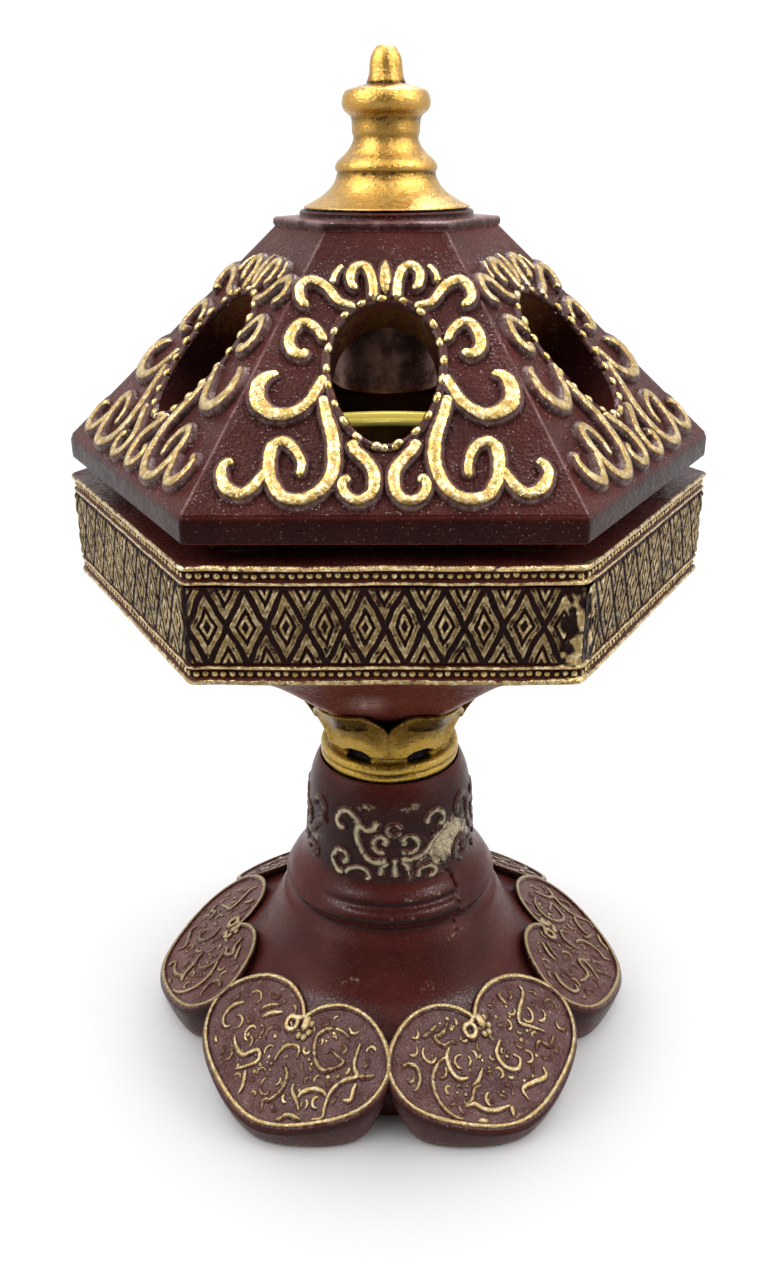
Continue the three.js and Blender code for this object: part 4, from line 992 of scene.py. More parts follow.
SCROLLS = [
    ([(-1.7, 39.2), (-1.9, 40.3), (-2.1, 43.4), (-3.1, 45.5), (-4.7, 45.8), (-5.8, 44.1), (-5.4, 42),
      (-4.2, 41.6)], 1.55, [(0, 1), (0.6, 1.1), (1, 0.9)]),
    ([(-4.6, 37.9), (-5.8, 38.1), (-7.6, 38.9), (-8.9, 40.7), (-10.2, 42.2), (-12.3, 43.0), (-13.8, 42.0),
      (-14.2, 40.0), (-13.4, 38.6), (-12.2, 38.6)], 1.65, [(0, 0.8), (0.5, 1.05), (1, 1.0)]),
    ([(-8.7, 42.3), (-8.3, 44.5), (-6.9, 46.3)], 1.25, [(0, 1), (1, 0.6)]),
    ([(-9.3, 31.6), (-10.0, 31.8), (-10.9, 33.3), (-12.3, 34.6), (-13.9, 34.6), (-15.2, 32.8), (-15.5, 30.6),
      (-14.7, 28.9), (-13.3, 28.6), (-12.9, 29.9)], 1.7, [(0, 0.8), (0.4, 1), (0.8, 1.15), (1, 1)]),
    ([(-9.6, 24.9), (-10.9, 22.3), (-12.2, 19.9), (-14.2, 18.1), (-16.2, 17.4), (-18.3, 17.9), (-20.0, 19.9),
      (-20.2, 22.5), (-19.0, 24.6), (-16.8, 25.6)],
     2.1, [(0, 0.7), (0.35, 0.95), (0.65, 1.35), (0.85, 1.1), (1, 0.35)]),
    ([(-10.0, 21.3), (-9.2, 17.4), (-8.2, 13.9), (-7.8, 10.5), (-8.1, 7.5), (-9.5, 4.6), (-12.4, 2.6),
      (-15.4, 2.9), (-17.0, 5.0), (-17.8, 7.9), (-17.5, 11.6), (-15.8, 12.8), (-13.9, 11.4), (-12.9, 8.9),
      (-13.2, 6.4)], 2.0, [(0, 0.8), (0.2, 1.1), (0.45, 1.05), (0.75, 1.0), (1, 0.6)]),
    ([(-17.7, 8.9), (-19.0, 6.7), (-20.4, 4.6), (-22.2, 3.6), (-24.3, 4.6), (-25.3, 7.0), (-24.8, 8.8),
      (-23.4, 9.4)], 1.8, [(0, 0.8), (0.6, 1.2), (1, 0.7)]),
    ([(-5.3, 13.3), (-4.5, 11.3), (-2.9, 9.6), (-1.6, 7.1), (-1.8, 4.1), (-3.5, 2.4), (-5.4, 2.9),
      (-6.5, 4.6), (-6.2, 6.1), (-4.9, 6.1)], 1.7, [(0, 1.1), (0.4, 1.15), (1, 0.9)]),
]
FLAME = [(0, 40.4), (0, 42.6), (0, 45.2), (0, 47.6)]


def scroll_lines():
    """Centrelines of every strand on a face, both halves."""
    lines = []
    for path, _, _ in SCROLLS:
        line = smooth_path(path, 0.5)
        lines += [line, line * [-1, 1]]
    lines.append(smooth_path(FLAME, 0.5))
    lines.append(window_outline(90, 1.4))
    return lines


def scroll_shape(k, height, beads):
    """Scrolls, flame and beaded ring of one lid face."""
    shape = Shape()
    place = on_lid_face(k)
    rng = np.random.default_rng(40 + k)
    for path, width, bulge in SCROLLS:
        for side in (1, -1):
            shaken = [(side * u + rng.normal(0, 0.07), v + rng.normal(0, 0.07)) for u, v in path]
            strand(shape, shaken, width, height, place, bulge=bulge, flank=0.7)
    flame = [(0, 0.45), (0.35, 1.15), (0.7, 0.9), (1, 0.2)]
    strand(shape, FLAME, 1.9, height, place, bulge=flame, gilt=0.9, flank=0.8)
    strand(shape, window_outline(150, 0.75), 0.7, height * 0.55, place, closed=True, gilt=0.3, flank=0.5)
    ring = even(np.vstack([window_outline(400, 0.65), window_outline(400, 0.65)[:1]]), 0.1)
    step = (len(ring) - 1) / beads
    for i in range(beads):
        here = int(round((i + 0.5) * step)) % (len(ring) - 1)
        along = ring[here + 1] - ring[here]
        along /= np.hypot(*along)
        at = ring[here] + rng.normal(0, 0.08, 2)
        bead(shape, at, rng.uniform(1.0, 1.22), place, squash=0.95, along=along)
    for u in (-1.5, 0, 1.6):
        bead(shape, (u, 11.9 + 0.2 * abs(u) / 1.5), 0.9, place, squash=0.9)
    return shape


# Finial: radius, height and how well the gilding covers, which dips in the grooves so the gold there is
# painted darker as painted shade

FINIAL = [
    (15.1, 179.75, 0.7), (15.05, 180.0, 1), (13.6, 180.7, 1), (11.86, 181.7, 1), (10.43, 182.85, 0.95),
    (9.5, 184, 0.9), (9.09, 185, 0.6), (8.95, 185.7, 0.5), (9.24, 186.15, 0.95), (9.18, 186.9, 1),
    (8.53, 187.75, 0.95), (7.4, 188.7, 0.9), (6.61, 189.6, 0.85), (6.08, 190.5, 0.7), (5.83, 191.4, 0.6),
    (6.08, 192.3, 0.8), (6.12, 193.5, 0.7), (6.2, 194.4, 0.5), (6.65, 195.05, 0.85), (7.5, 195.7, 1),
    (7.89, 196.6, 1), (7.87, 197.5, 1), (7.53, 198.4, 1), (6.78, 199.06, 0.95), (3.75, 199.9, 0.45),
    (3.45, 200.3, 0.5), (3.14, 201.05, 0.8), (2.94, 202.1, 1), (2.85, 203.2, 1), (2.6, 204.3, 1),
    (1.95, 205.4, 1), (1.1, 206.0, 1), (0.02, 206.2, 1),
]


def finial_shape():
    """Turned knob."""
    line = smooth_path(FINIAL, 0.22)
    steps = 160
    points = turned(line[:, :2], steps)
    angle = np.linspace(0, 360, steps, endpoint=False)
    radius = np.hypot(points[..., 0], points[..., 1])
    dent = 1 + 0.06 * wave(angle[None, :] + 3 * points[..., 2], 70, 2) / np.maximum(radius, 1.5)
    points[..., :2] *= dent[..., None]
    shape = Shape()
    gilding = np.repeat(np.clip(line[:, 2], 0, 1), steps)
    shape.add(points, grid_faces(len(line), steps, closed=True), gilding)
    base = turned([(2.8, 179.72), (15.05, 179.72)], steps)
    shape.add(base, grid_faces(2, steps, closed=True), 0.2)
    return shape


# Finishes

class Finish:
    """A node material in the making."""

    def __init__(self, name):
        self.material = bpy.data.materials.new(name)
        self.material.use_nodes = True
        self.tree = self.material.node_tree
        self.tree.nodes.clear()
        self.shader = self.node("BsdfPrincipled")
        self.node("OutputMaterial", Surface=self.shader.outputs["BSDF"])
        self.where = self.node("TexCoord").outputs["Object"]

    def node(self, kind, **inputs):
        """A new node with values or links put into its inputs."""
        made = self.tree.nodes.new("ShaderNode" + kind)
        for label, value in inputs.items():
            self.put(made.inputs[label], value)
        return made

    def put(self, socket, value):
        if isinstance(value, bpy.types.NodeSocket):
            self.tree.links.new(value, socket)
        elif value is not None:
            socket.default_value = value

    def noise(self, size_mm, detail=3.0, roughness=0.55, stretch=None):
        place, scale = self.where, 1 / (size_mm * MM)
        if stretch:
            place = self.node("Mapping", Vector=place, Scale=stretch).outputs["Vector"]
        made = self.node("TexNoise", Vector=place, Scale=scale, Detail=detail, Roughness=roughness)
        return made.outputs["Fac"]

    def cells(self, size_mm):
        return self.node("TexVoronoi", Vector=self.where, Scale=1 / (size_mm * MM)).outputs["Distance"]

    def levelness(self):
        """1 where the surface lies level, 0 where it stands upright."""
        normal = self.node("NewGeometry").outputs["Normal"]
        return self.math("ABSOLUTE", self.node("SeparateXYZ", Vector=normal).outputs["Z"])

    def attribute(self, name):
        made = self.node("Attribute")
        made.attribute_name = name
        return made.outputs["Fac"]

    def math(self, operation, a, b=None):
        made = self.node("Math")
        made.operation = operation
        self.put(made.inputs[0], a)
        self.put(made.inputs[1], b)
        return made.outputs[0]

    def times(self, a, b):
        return self.math("MULTIPLY", a, b)

    def spread(self, value, low, high, to_low=0.0, to_high=1.0):
        """The value's range from low to high, eased into a new range."""
        made = self.node("MapRange", Value=value)
        made.interpolation_type = "SMOOTHSTEP"
        for label, number in (("From Min", low), ("From Max", high), ("To Min", to_low), ("To Max", to_high)):
            made.inputs[label].default_value = number
        return made.outputs["Result"]

    def mix(self, share, a, b):
        made = self.node("Mix", Factor=share)
        made.data_type = "RGBA"
        for socket, value in ((made.inputs[6], a), (made.inputs[7], b)):
            self.put(socket, (*value, 1) if isinstance(value, tuple) else value)
        return made.outputs[2]

    def bump(self, height, strength, depth_mm, under=None):
        made = self.node("Bump", Strength=strength, Distance=depth_mm * MM, Height=height, Normal=under)
        return made.outputs["Normal"]

    def set(self, **values):
        """Puts the values into the shader and gives the finished material."""
        labels = {
            "colour": "Base Color", "roughness": "Roughness", "metallic": "Metallic", "normal": "Normal",
            "sheen": "Sheen Weight", "specular": "Specular IOR Level", "glow_colour": "Emission Color",
            "glow": "Emission Strength",
        }
        for key, value in values.items():
            if isinstance(value, tuple):
                value = (*value, 1)
            self.put(self.shader.inputs[labels[key]], value)
        return self.material


def darker(colour, share):
    """A colour scaled towards black."""
    return tuple(channel * share for channel in colour)


def lacquer_ground(finish, colour, sheen_colour, sheen_patch_size=4):
    """Mottled red-brown lacquer with painted shade on upright faces, pale dust in the rough places, painted
    glints on their pebbles and a painted sheen where asked.
    """
    patches = finish.spread(finish.noise(14, 4), 0.35, 0.68)
    # Upright faces get a much darker copy of the lacquer than level ones: painted shade.
    level = finish.mix(patches, darker(colour, 0.8), darker(colour, 1.18))
    upright = finish.mix(patches, darker(colour, 0.19), darker(colour, 0.31))
    ground = finish.mix(finish.spread(finish.levelness(), 0.08, 0.62), upright, level)
    fine = finish.noise(0.42, 2, 0.6)
    rough = finish.attribute("grain")
    dusty = finish.times(finish.spread(finish.noise(5, 3), 0.45, 0.6), rough)
    pits = finish.times(finish.spread(fine, 0.56, 0.7), finish.times(dusty, 0.35))
    dusted = finish.mix(pits, ground, (0.3, 0.2, 0.17))
    # Pale dots on the pebbles of the rough places: painted glints.
    grains = finish.spread(finish.cells(0.62), 0.1, 0.22, 1, 0)
    glints = finish.times(grains, finish.spread(rough, 0.1, 0.9))
    glints = finish.times(glints, finish.spread(finish.noise(1.7, 3), 0.43, 0.57))
    # Pale colour where the haze attribute asks: painted sheen and highlights, and real scratches on the tray.
    patchy = finish.spread(finish.noise(sheen_patch_size, 4, 0.65), 0.36, 0.62, 0.2, 1.0)
    sheened_and_scratched = finish.mix(finish.times(finish.attribute("haze"), patchy), dusted, sheen_colour)
    return finish.mix(glints, sheened_and_scratched, (0.66, 0.52, 0.5)), fine, rough


def make_lacquer(name, colour, gold, cloud=(0.23, 0.125, 0.115), gloss=0.12):
    """Painted casting: lacquer with smears of gold where the brush slipped, which on the foot also paint
    highlights and reflections; cloud colours the painted sheen.
    """
    finish = Finish(name)
    ground, fine, rough = lacquer_ground(finish, colour, cloud)
    ragged = finish.spread(finish.noise(1.6, 5, 0.75), 0.25, 0.75, -0.42, 0.42)
    broken = finish.spread(finish.math("ADD", finish.attribute("gilding"), ragged), 0.42, 0.95)
    gilt = finish.times(broken, finish.spread(finish.noise(0.5, 2, 0.6), 0.3, 0.6, 0.45, 1.0))
    metal = finish.mix(finish.spread(finish.noise(0.7, 3), 0.35, 0.7), darker(gold, 0.6), gold)
    waves = finish.bump(finish.noise(3.4, 2), 0.06, 0.4)
    grain = finish.bump(fine, 0.5, 0.06, waves)
    pebbles = finish.times(finish.math("SUBTRACT", 1.0, finish.cells(0.62)), rough)
    grit = finish.bump(finish.times(finish.noise(0.3, 3), rough), 0.8, 0.2, grain)
    specks = finish.bump(pebbles, 0.9, 0.24, grit)
    return finish.set(
        colour=finish.mix(gilt, ground, metal), metallic=finish.times(gilt, 0.5),
        roughness=finish.spread(finish.noise(2.2, 3), 0.3, 0.7, 0.24, 0.36), normal=specks, specular=gloss,
    )


def make_gilding(name, gold, pale, lacquer, cover, metal_share=0.8, speck=0.5, streak=None, gloss=0.12):
    """Gold paint brushed over relief: full on the crests, lacquer left showing in the hollows, the gold
    painted darker where it thins as painted shade.
    """
    finish = Finish(name)
    # (0.36, 0.23, 0.2) is the colour of the painted sheen on the lacquer.
    ground = lacquer_ground(finish, lacquer, (0.36, 0.23, 0.2), 1.3)[0]
    ragged = finish.spread(finish.noise(1.3, 4, 0.6), 0.25, 0.75, -speck * 0.5, speck * 0.5)
    covered = finish.spread(finish.math("ADD", finish.attribute("gilding"), ragged), cover, cover + 0.24)
    tone = finish.spread(finish.noise(1.2, 5, 0.7, stretch=streak), 0.44, 0.62)
    # Gold goes darker where the gilding falls off the crest: painted shade down the flanks and round the
    # beads.
    crest = finish.spread(finish.attribute("gilding"), cover, 0.98)
    metal = finish.mix(crest, darker(gold, 0.32), finish.mix(tone, gold, pale))
    freckle = finish.spread(finish.noise(0.3, 2, 0.6), 0.62, 0.74, 0.0, 0.75)
    metal = finish.mix(freckle, metal, darker(gold, 0.25))
    brushed = finish.bump(finish.noise(0.8, 4, 0.65, stretch=streak), 0.9, 0.22)
    surface = finish.bump(covered, 0.4, 0.08, brushed)
    return finish.set(
        colour=finish.mix(covered, ground, metal), metallic=finish.times(covered, metal_share),
        roughness=finish.spread(finish.noise(1.1, 3), 0.3, 0.7, 0.2, 0.38), normal=surface, specular=gloss,
    )


def make_brass(name, colour, glow=0.52):
    """Spun brass with turning marks, a bowl painted darker as painted shade, and a rim given painted light
    that glows.
    """
    finish = Finish(name)
    marks = finish.noise(0.8, 2, 0.5, stretch=(0.15, 0.15, 3.0))
    mottle = finish.spread(finish.noise(8, 4), 0.35, 0.7)
    bright = finish.mix(mottle, colour, darker(colour, 0.8))
    # Darker colour for the bowl below the rim: painted shade.
    shaded_bowl = finish.mix(mottle, (0.2, 0.115, 0.015), (0.11, 0.06, 0.01))
    lit_rim = finish.attribute("gilding")
    return finish.set(
        colour=finish.mix(lit_rim, shaded_bowl, bright), metallic=finish.spread(lit_rim, 0, 1, 0.9, 0.4),
        roughness=finish.spread(marks, 0.3, 0.7, 0.24, 0.4), normal=finish.bump(marks, 0.15, 0.03),
        # The rim glows: painted light.
        glow_colour=colour, glow=finish.times(lit_rim, glow),
    )


def make_steel(name, colour):
    """Zinc-plated steel."""
    finish = Finish(name)
    cloud = finish.spread(finish.noise(2.5, 3), 0.3, 0.7)
    return finish.set(
        colour=finish.mix(cloud, colour, darker(colour, 0.75)), metallic=1.0,
        roughness=finish.spread(cloud, 0, 1, 0.3, 0.45), normal=finish.bump(finish.noise(0.4), 0.1, 0.02),
    )


def make_felt(name, colour):
    """Pressed felt."""
    finish = Finish(name)
    fuzz = finish.noise(0.5, 5, 0.75)
    return finish.set(
        colour=finish.mix(fuzz, darker(colour, 0.6), darker(colour, 1.5)), roughness=0.95, sheen=0.4,
        normal=finish.bump(fuzz, 0.8, 0.3),
    )


def finish_of(name, maker, *values, **options):
    """The named material, made when it is first asked for."""
    return bpy.data.materials.get(name) or maker(name, *values, **options)


def palette():
    """The colours of the panel."""
    return bpy.context.scene.burner_finishes


def lacquer():
    """Lacquer of the foot."""
    return finish_of("red_brown_lacquer", make_lacquer, tuple(palette().lacquer), tuple(palette().worn))


def lid_lacquer():
    """Lacquer of the lid, with paler painted sheen and duller gloss."""
    gold = darker(palette().gold, 0.3)
    # Colour of the lid's painted sheen on arrises, plate edges and boss.
    cloud = (0.6, 0.36, 0.34)
    return finish_of("lid_lacquer", make_lacquer, tuple(palette().lacquer), gold, cloud=cloud, gloss=0.07)


# Gildings: gold, pale gold and lacquer with the brightness of each, then cover and options
GILDINGS = {
    "bright_gilding": (("gold", 1), ("pale_gold", 1), ("lacquer", 1), 0.4, {"speck": 0.3}),
    "dry_gilding": (
        ("dry_gold", 1), ("worn", 0.85), ("lacquer", 1), 0.34,
        {"metal_share": 0.35, "speck": 0.5}),
    # bead_gilding: its lacquer at half brightness paints shade round the foot of each bead.
    "bead_gilding": (
        ("gold", 1), ("pale_gold", 1), ("lacquer", 0.5), 0.42,
        {"metal_share": 0.85, "speck": 0.35, "gloss": 0.3}),
    "worn_paint": (
        ("worn", 0.62), ("worn", 1), ("lacquer", 1), 0.42,
        {"metal_share": 0.2, "speck": 0.9}),
    "rich_gilding": (
        ("rich_gold", 1), ("gold", 1), ("lacquer", 1), 0.3,
        {"metal_share": 0.9, "speck": 0.35, "streak": (1.0, 1.0, 2.0)}),
    # aged_gilding: its lacquer at 0.12 paints the shadow in the collar's hollows.
    "aged_gilding": (
        ("aged_gold", 1), ("gold", 1), ("lacquer", 0.12), 0.36,
        {"metal_share": 0.9, "speck": 0.3, "gloss": 0.08}),
    "banded_lacquer": (
        ("dry_gold", 1), ("pale_gold", 1), ("lacquer", 1), 0.66,
        {"speck": 0.6, "gloss": 0.1}),
    "frieze_gilding": (
        ("dry_gold", 0.75), ("pale_gold", 1), ("lacquer", 0.5), 0.5,
        {"metal_share": 0.6, "speck": 0.5, "gloss": 0.08}),
}


def gilded(name):
    """The named gilding in the palette's colours."""
    *paints, cover, options = GILDINGS[name]
    colours = [darker(getattr(palette(), paint), share) for paint, share in paints]
    return finish_of(name, make_gilding, *colours, cover, **options)


# Settings a user would change

class BurnerFinishes(bpy.types.PropertyGroup):
    """Colours of the paint, gilding and metals."""

    lacquer: bpy.props.FloatVectorProperty(
        name="Lacquer", description="Red-brown lacquer on the castings", subtype="COLOR", size=3,
        min=0, max=1, default=(0.083, 0.0155, 0.0115))
    gold: bpy.props.FloatVectorProperty(
        name="Gold", description="Bright gold paint", subtype="COLOR", size=3, min=0, max=1,
        default=(0.42, 0.27, 0.08))
    pale_gold: bpy.props.FloatVectorProperty(
        name="Pale gold", description="Thin, light gold on crests", subtype="COLOR", size=3, min=0, max=1,
        default=(0.74, 0.59, 0.34))
    dry_gold: bpy.props.FloatVectorProperty(
        name="Dry gold", description="Dry-brushed antique gold", subtype="COLOR", size=3, min=0, max=1,
        default=(0.4, 0.27, 0.11))
    rich_gold: bpy.props.FloatVectorProperty(
        name="Rich gold", description="Gold of the finial and collar", subtype="COLOR", size=3, min=0, max=1,
        default=(0.46, 0.25, 0.05))
    aged_gold: bpy.props.FloatVectorProperty(
        name="Aged gold", description="Olive gold of the collar", subtype="COLOR", size=3, min=0, max=1,
        default=(0.38, 0.24, 0.035))
    worn: bpy.props.FloatVectorProperty(
        name="Worn paint", description="Pale worn paint of smears and palmettes", subtype="COLOR", size=3,
        min=0, max=1, default=(0.6, 0.5, 0.32))
    brass: bpy.props.FloatVectorProperty(
        name="Brass", description="Spun brass of the cup", subtype="COLOR", size=3, min=0, max=1,
        default=(0.9, 0.72, 0.16))


class BurnerRelief(bpy.types.PropertyGroup):
    """Heights and counts of the relief."""

    scroll_height: bpy.props.FloatProperty(
        name="Scroll height", description="Height of the lid scrolls above the face", unit="LENGTH",
        min=0.0005, max=0.0018, default=0.0013)
    ring_beads: bpy.props.IntProperty(
        name="Ring beads", description="Beads round each window", min=10, max=40, default=21)
    row_beads: bpy.props.IntProperty(
        name="Row beads", description="Beads along each side of a moulding", min=20, max=60, default=43)
    row_bead_radius: bpy.props.FloatProperty(
        name="Row bead radius", description="Size of the beads in the mouldings", unit="LENGTH",
        min=0.0003, max=0.0008, default=0.00066)
    diamonds: bpy.props.IntProperty(
        name="Diamonds", description="Diamonds along each side of the frieze", min=5, max=16, default=10)
    frieze_depth: bpy.props.FloatProperty(
        name="Frieze depth", description="Depth of the cut diamonds", unit="LENGTH",
        min=0.0002, max=0.0009, default=0.0005)
    tendril_height: bpy.props.FloatProperty(
        name="Tendril height", description="Height of the tendrils on the petals", unit="LENGTH",
        min=0.0002, max=0.0008, default=0.00045)
    palmette_height: bpy.props.FloatProperty(
        name="Palmette height", description="Height of the palmettes on the column", unit="LENGTH",
        min=0.0002, max=0.001, default=0.00055)


class BurnerStudio(bpy.types.PropertyGroup):
    """Camera and lamps."""

    camera_place: bpy.props.FloatVectorProperty(
        name="Camera place", description="Where the camera stands", subtype="TRANSLATION", unit="LENGTH",
        size=3, default=(0.0024, -0.219, 0.18932))
    pitch: bpy.props.FloatProperty(
        name="Pitch", description="Camera looking down", subtype="ANGLE", unit="ROTATION",
        default=math.radians(23.68))
    roll: bpy.props.FloatProperty(
        name="Roll", description="Camera leaning sideways", subtype="ANGLE", unit="ROTATION",
        default=math.radians(-0.29))
    pan: bpy.props.FloatProperty(
        name="Pan", description="Camera turned right", subtype="ANGLE", unit="ROTATION",
        default=math.radians(-0.59))
    lens: bpy.props.FloatProperty(
        name="Lens", description="Focal length in millimetres", min=10, max=200, default=31.44)
    side_lamps: bpy.props.FloatProperty(
        name="Side lamps", description="Power of the two side softboxes", unit="POWER", min=0, max=20,
        default=1.1)
    top_lamp: bpy.props.FloatProperty(
        name="Top lamp", description="Power of the overhead softbox", unit="POWER", min=0, max=20,
        default=0.9)


# Operators: one for each piece or group of like pieces

class BURNER_OT_foot(bpy.types.Operator):
    """Column, rings, skirt and six heart petals in one casting"""

    bl_idname = "burner.foot"
    bl_label = "Foot casting"

    def execute(self, context):
        piece = foot_shape().build("foot_casting", "base", "resin", lacquer(), crease=50)
        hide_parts("foot")
        return {"FINISHED"}


class BURNER_OT_petal_relief(bpy.types.Operator):
    """Gilded borders and worn tendrils on the petals"""

    bl_idname = "burner.petal_relief"
    bl_label = "Petal relief"

    def execute(self, context):
        height = context.scene.burner_relief.tendril_height / MM
        for k in range(SIDES):
            shape = petal_relief_shape(k, height)
            piece = shape.build(f"petal_relief_{k + 1}", "base", "dry_gilt", gilded("dry_gilding"))
            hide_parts(f"petal_rim_{k + 1}")
        return {"FINISHED"}


class BURNER_OT_palmettes(bpy.types.Operator):
    """Worn palmettes round the column"""

    bl_idname = "burner.palmettes"
    bl_label = "Column palmettes"

    def execute(self, context):
        height = context.scene.burner_relief.palmette_height / MM
        palmette_shape(height).build("column_palmettes", "base", "dry_gilt", gilded("worn_paint"))
        return {"FINISHED"}


class BURNER_OT_collar(bpy.types.Operator):
    """Leaf collar under the tray"""

    bl_idname = "burner.collar"
    bl_label = "Leaf collar"

    def execute(self, context):
        piece = collar_shape().build("leaf_collar", "base", "gilt", gilded("aged_gilding"), crease=60)
        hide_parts("collar")
        return {"FINISHED"}


class BURNER_OT_tray(bpy.types.Operator):
    """Hexagonal tray casting with its mouldings and well"""

    bl_idname = "burner.tray"
    bl_label = "Tray casting"

    def execute(self, context):
        piece = tray_shape().build("tray_casting", "base", "resin", gilded("banded_lacquer"), crease=32)
        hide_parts("tray")
        return {"FINISHED"}


class BURNER_OT_bead_rows(bpy.types.Operator):
    """Rows of beads in the tray's mouldings"""

    bl_idname = "burner.bead_rows"
    bl_label = "Bead rows"

    def execute(self, context):
        relief = context.scene.burner_relief
        shape = bead_row_shape(relief.row_beads, relief.row_bead_radius / MM)
        shape.build("bead_rows", "base", "dry_gilt", gilded("bead_gilding"))
        return {"FINISHED"}


class BURNER_OT_frieze(bpy.types.Operator):
    """Diamond frieze on the six sides of the tray"""

    bl_idname = "burner.frieze"
    bl_label = "Diamond frieze"

    def execute(self, context):
        relief = context.scene.burner_relief
        for k in range(SIDES):
            shape = frieze_shape(k, relief.diamonds, relief.frieze_depth / MM)
            material = gilded("frieze_gilding")
            piece = shape.build(f"diamond_frieze_{k + 1}", "base", "dry_gilt", material, crease=80)
            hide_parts(f"frieze_panel_{k + 1}")
        return {"FINISHED"}


class BURNER_OT_cup(bpy.types.Operator):
    """Brass charcoal cup"""

    bl_idname = "burner.cup"
    bl_label = "Charcoal cup"

    def execute(self, context):
        material = finish_of("spun_brass", make_brass, tuple(palette().brass))
        piece = cup_shape().build("brass_cup", "cup", "brass", material)
        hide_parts("charcoal_cup")
        return {"FINISHED"}


class BURNER_OT_lid(bpy.types.Operator):
    """Pierced pyramid lid casting"""

    bl_idname = "burner.lid"
    bl_label = "Lid casting"

    def execute(self, context):
        piece = lid_shape(scroll_lines()).build("lid_casting", "lid", "resin", lid_lacquer(), crease=40)
        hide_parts("lid")
        return {"FINISHED"}


class BURNER_OT_scrollwork(bpy.types.Operator):
    """Gilded scrollwork and beaded rings on the lid"""

    bl_idname = "burner.scrollwork"
    bl_label = "Lid scrollwork"

    def execute(self, context):
        relief = context.scene.burner_relief
        for k in range(SIDES):
            shape = scroll_shape(k, relief.scroll_height / MM, relief.ring_beads)
            piece = shape.build(f"scrollwork_{k + 1}", "lid", "gilt", gilded("bright_gilding"), crease=70)
            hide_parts(f"lid_scroll_{k + 1}")
        return {"FINISHED"}


class BURNER_OT_finial(bpy.types.Operator):
    """Turned, gilded finial"""

    bl_idname = "burner.finial"
    bl_label = "Finial"

    def execute(self, context):
        piece = finial_shape().build("turned_finial", "lid", "gilt", gilded("rich_gilding"), crease=60)
        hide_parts("finial")
        return {"FINISHED"}


class BURNER_OT_fittings(bpy.types.Operator):
    """Felt pads, tie rod, stud, washers and nuts carried over from the frame"""

    bl_idname = "burner.fittings"
    bl_label = "Pads and fasteners"

    def execute(self, context):
        felt = finish_of("pressed_felt", make_felt, (0.03, 0.022, 0.02))
        steel = finish_of("plated_steel", make_steel, (0.52, 0.53, 0.54))
        for name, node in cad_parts.items():
            if node.hide_render:
                continue
            node.data.materials.clear()
            node.data.materials.append(felt if name.startswith("felt_pad") else steel)
        return {"FINISHED"}


class BURNER_OT_studio(bpy.types.Operator):
    """White sweep, softboxes and camera"""

    bl_idname = "burner.studio"
    bl_label = "Studio"

    def execute(self, context):
        add_floor()
        add_flag()
        add_lamps(context.scene.burner_studio)
        add_camera(context.scene.burner_studio)
        return {"FINISHED"}


# Studio, in metres

FLOOR_REACH = 30.0
FLAG_RADIUS = 3.5
SURROUND = 1.18
SPARKLE_POWER = 2.8


def sheet(name, corners):
    """A flat sheet of studio equipment."""
    mesh = bpy.data.meshes.new(name)
    mesh.from_pydata(corners, [], [tuple(range(len(corners)))])
    return linked(name, mesh)


def add_floor():
    """A wide pale floor."""
    corners = [(x * FLOOR_REACH, y * FLOOR_REACH, 0) for x, y in ((-1, -1), (1, -1), (1, 1), (-1, 1))]
    floor = sheet("studio_floor", corners)
    white = Finish("white_sweep").set(colour=(0.97, 0.97, 0.97), roughness=0.9, specular=0.0)
    floor.data.materials.append(white)


def add_flag():
    """A dark round flag in front of the burner that keeps its front out of the glare."""
    turn = full_turn(48)
    ring = np.stack([FLAG_RADIUS * np.cos(turn), np.full(48, -3.0), 0.6 + FLAG_RADIUS * np.sin(turn)], 1)
    flag = sheet("front_flag", ring.tolist())
    flag.visible_camera = False
    dark = Finish("dark_flag").set(colour=(0.05, 0.05, 0.05), roughness=1.0, specular=0.0)
    flag.data.materials.append(dark)


def add_lamp(name, place, aim, size, power, gloss_only=False):
    """A rectangular softbox, or a small lamp that shows only in the gloss."""
    data = bpy.data.lights.new(name, "AREA")
    data.shape = "RECTANGLE"
    data.size, data.size_y = size
    data.energy = power
    lamp = linked(name, data)
    lamp.location = place
    lamp.visible_diffuse = not gloss_only
    lamp.rotation_mode = "QUATERNION"
    lamp.rotation_quaternion = (Vector(aim) - Vector(place)).to_track_quat("-Z", "Y")


def add_lamps(studio):
    """Two side softboxes, one overhead, three sparkle lamps and a bright surround."""
    aim = (0, 0, 0.1)
    add_lamp("left_softbox", (-0.62, -0.3, 0.42), aim, (0.35, 0.6), studio.side_lamps)
    add_lamp("right_softbox", (0.62, -0.22, 0.4), aim, (0.35, 0.6), studio.side_lamps)
    add_lamp("top_softbox", (0.0, 0.1, 0.75), aim, (0.5, 0.4), studio.top_lamp)
    sparkles = {"left": (-0.32, -0.12, 0.55), "right": (0.32, -0.12, 0.55), "back": (0.05, 0.3, 0.6)}
    for name, place in sparkles.items():
        add_lamp(f"{name}_sparkle", place, aim, (0.1, 0.1), SPARKLE_POWER, gloss_only=True)
    world = bpy.data.worlds.new("bright_surround")
    bpy.context.scene.world = world
    world.use_nodes = True
    nodes, links = world.node_tree.nodes, world.node_tree.links
    nodes.clear()
    background = nodes.new("ShaderNodeBackground")
    background.inputs["Color"].default_value = (1, 1, 1, 1)
    background.inputs["Strength"].default_value = SURROUND
    output = nodes.new("ShaderNodeOutputWorld")
    links.new(background.outputs[0], output.inputs["Surface"])
    bpy.context.scene.view_settings.view_transform = "Standard"


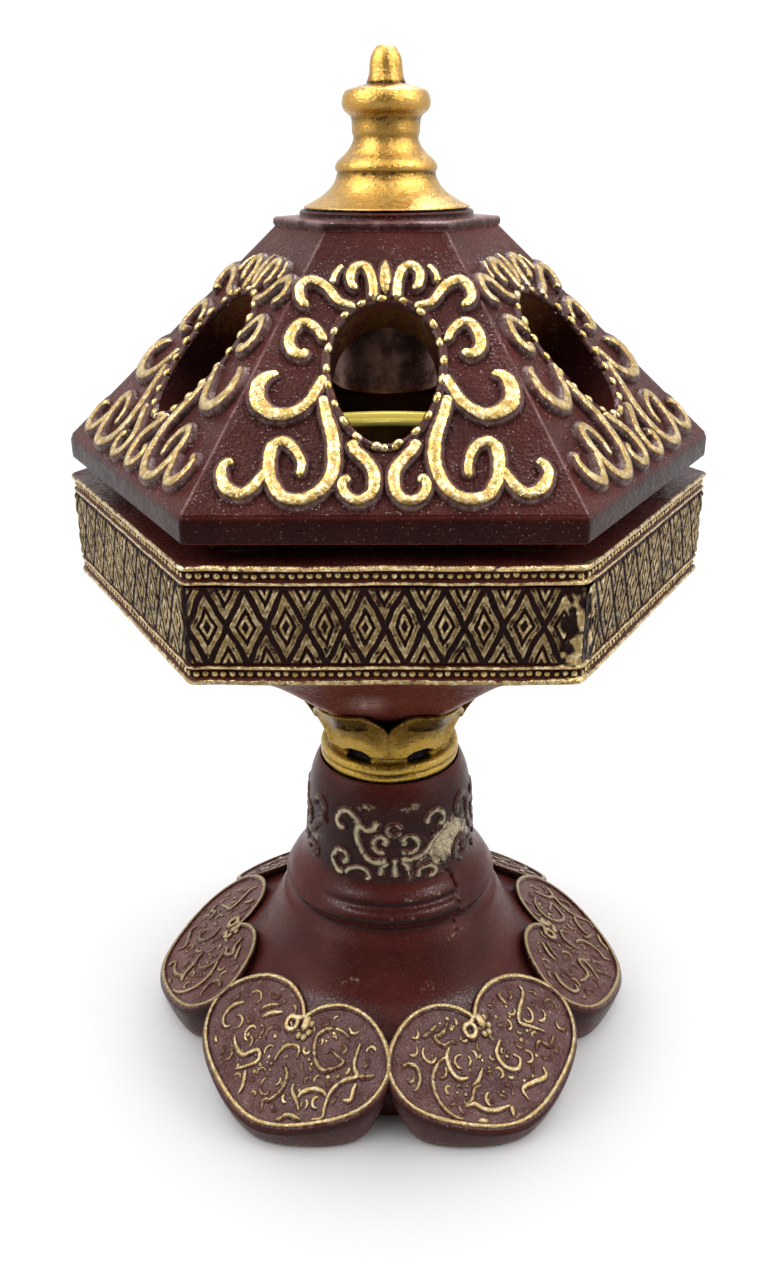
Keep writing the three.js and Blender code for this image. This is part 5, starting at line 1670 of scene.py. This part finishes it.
def add_camera(studio):
    """The photograph's camera."""
    forward = Vector((
        math.sin(studio.pan) * math.cos(studio.pitch), math.cos(studio.pan) * math.cos(studio.pitch),
        -math.sin(studio.pitch),
    ))
    level = Vector((math.cos(studio.pan), -math.sin(studio.pan), 0))
    upright = level.cross(forward)
    right = level * math.cos(studio.roll) + upright * math.sin(studio.roll)
    up = upright * math.cos(studio.roll) - level * math.sin(studio.roll)
    data = bpy.data.cameras.new("photograph_camera")
    data.lens = studio.lens
    data.sensor_width = 36
    data.clip_start = 0.01
    camera = linked("photograph_camera", data)
    turn = Matrix((right, up, -forward)).transposed().to_4x4()
    camera.matrix_world = Matrix.Translation(Vector(studio.camera_place)) @ turn
    bpy.context.scene.camera = camera


class BURNER_PT_panel(bpy.types.Panel):
    """Lists the pieces of the burner and the settings they use."""

    bl_idname = "BURNER_PT_panel"
    bl_label = "Incense burner"
    bl_space_type = "VIEW_3D"
    bl_region_type = "UI"
    bl_category = "Burner"

    def draw(self, context):
        scene = context.scene
        for group in (scene.burner_finishes, scene.burner_relief, scene.burner_studio):
            box = self.layout.box()
            for name in group.__annotations__:
                box.prop(group, name)
        for operator in STEPS:
            self.layout.operator(operator.bl_idname)


GROUPS = (BurnerFinishes, BurnerRelief, BurnerStudio)
STEPS = (
    BURNER_OT_foot, BURNER_OT_petal_relief, BURNER_OT_palmettes, BURNER_OT_collar, BURNER_OT_tray,
    BURNER_OT_bead_rows, BURNER_OT_frieze, BURNER_OT_cup, BURNER_OT_lid, BURNER_OT_scrollwork,
    BURNER_OT_finial, BURNER_OT_fittings, BURNER_OT_studio,
)


def register():
    for group in GROUPS + STEPS + (BURNER_PT_panel,):
        bpy.utils.register_class(group)
    bpy.types.Scene.burner_finishes = bpy.props.PointerProperty(type=BurnerFinishes)
    bpy.types.Scene.burner_relief = bpy.props.PointerProperty(type=BurnerRelief)
    bpy.types.Scene.burner_studio = bpy.props.PointerProperty(type=BurnerStudio)


def unregister():
    for name in ("burner_finishes", "burner_relief", "burner_studio"):
        delattr(bpy.types.Scene, name)
    for group in reversed(GROUPS + STEPS + (BURNER_PT_panel,)):
        bpy.utils.unregister_class(group)


def main():
    register()
    for operator in STEPS:
        family, name = operator.bl_idname.split(".")
        getattr(getattr(bpy.ops, family), name)()


if __name__ == "__main__":
    main()
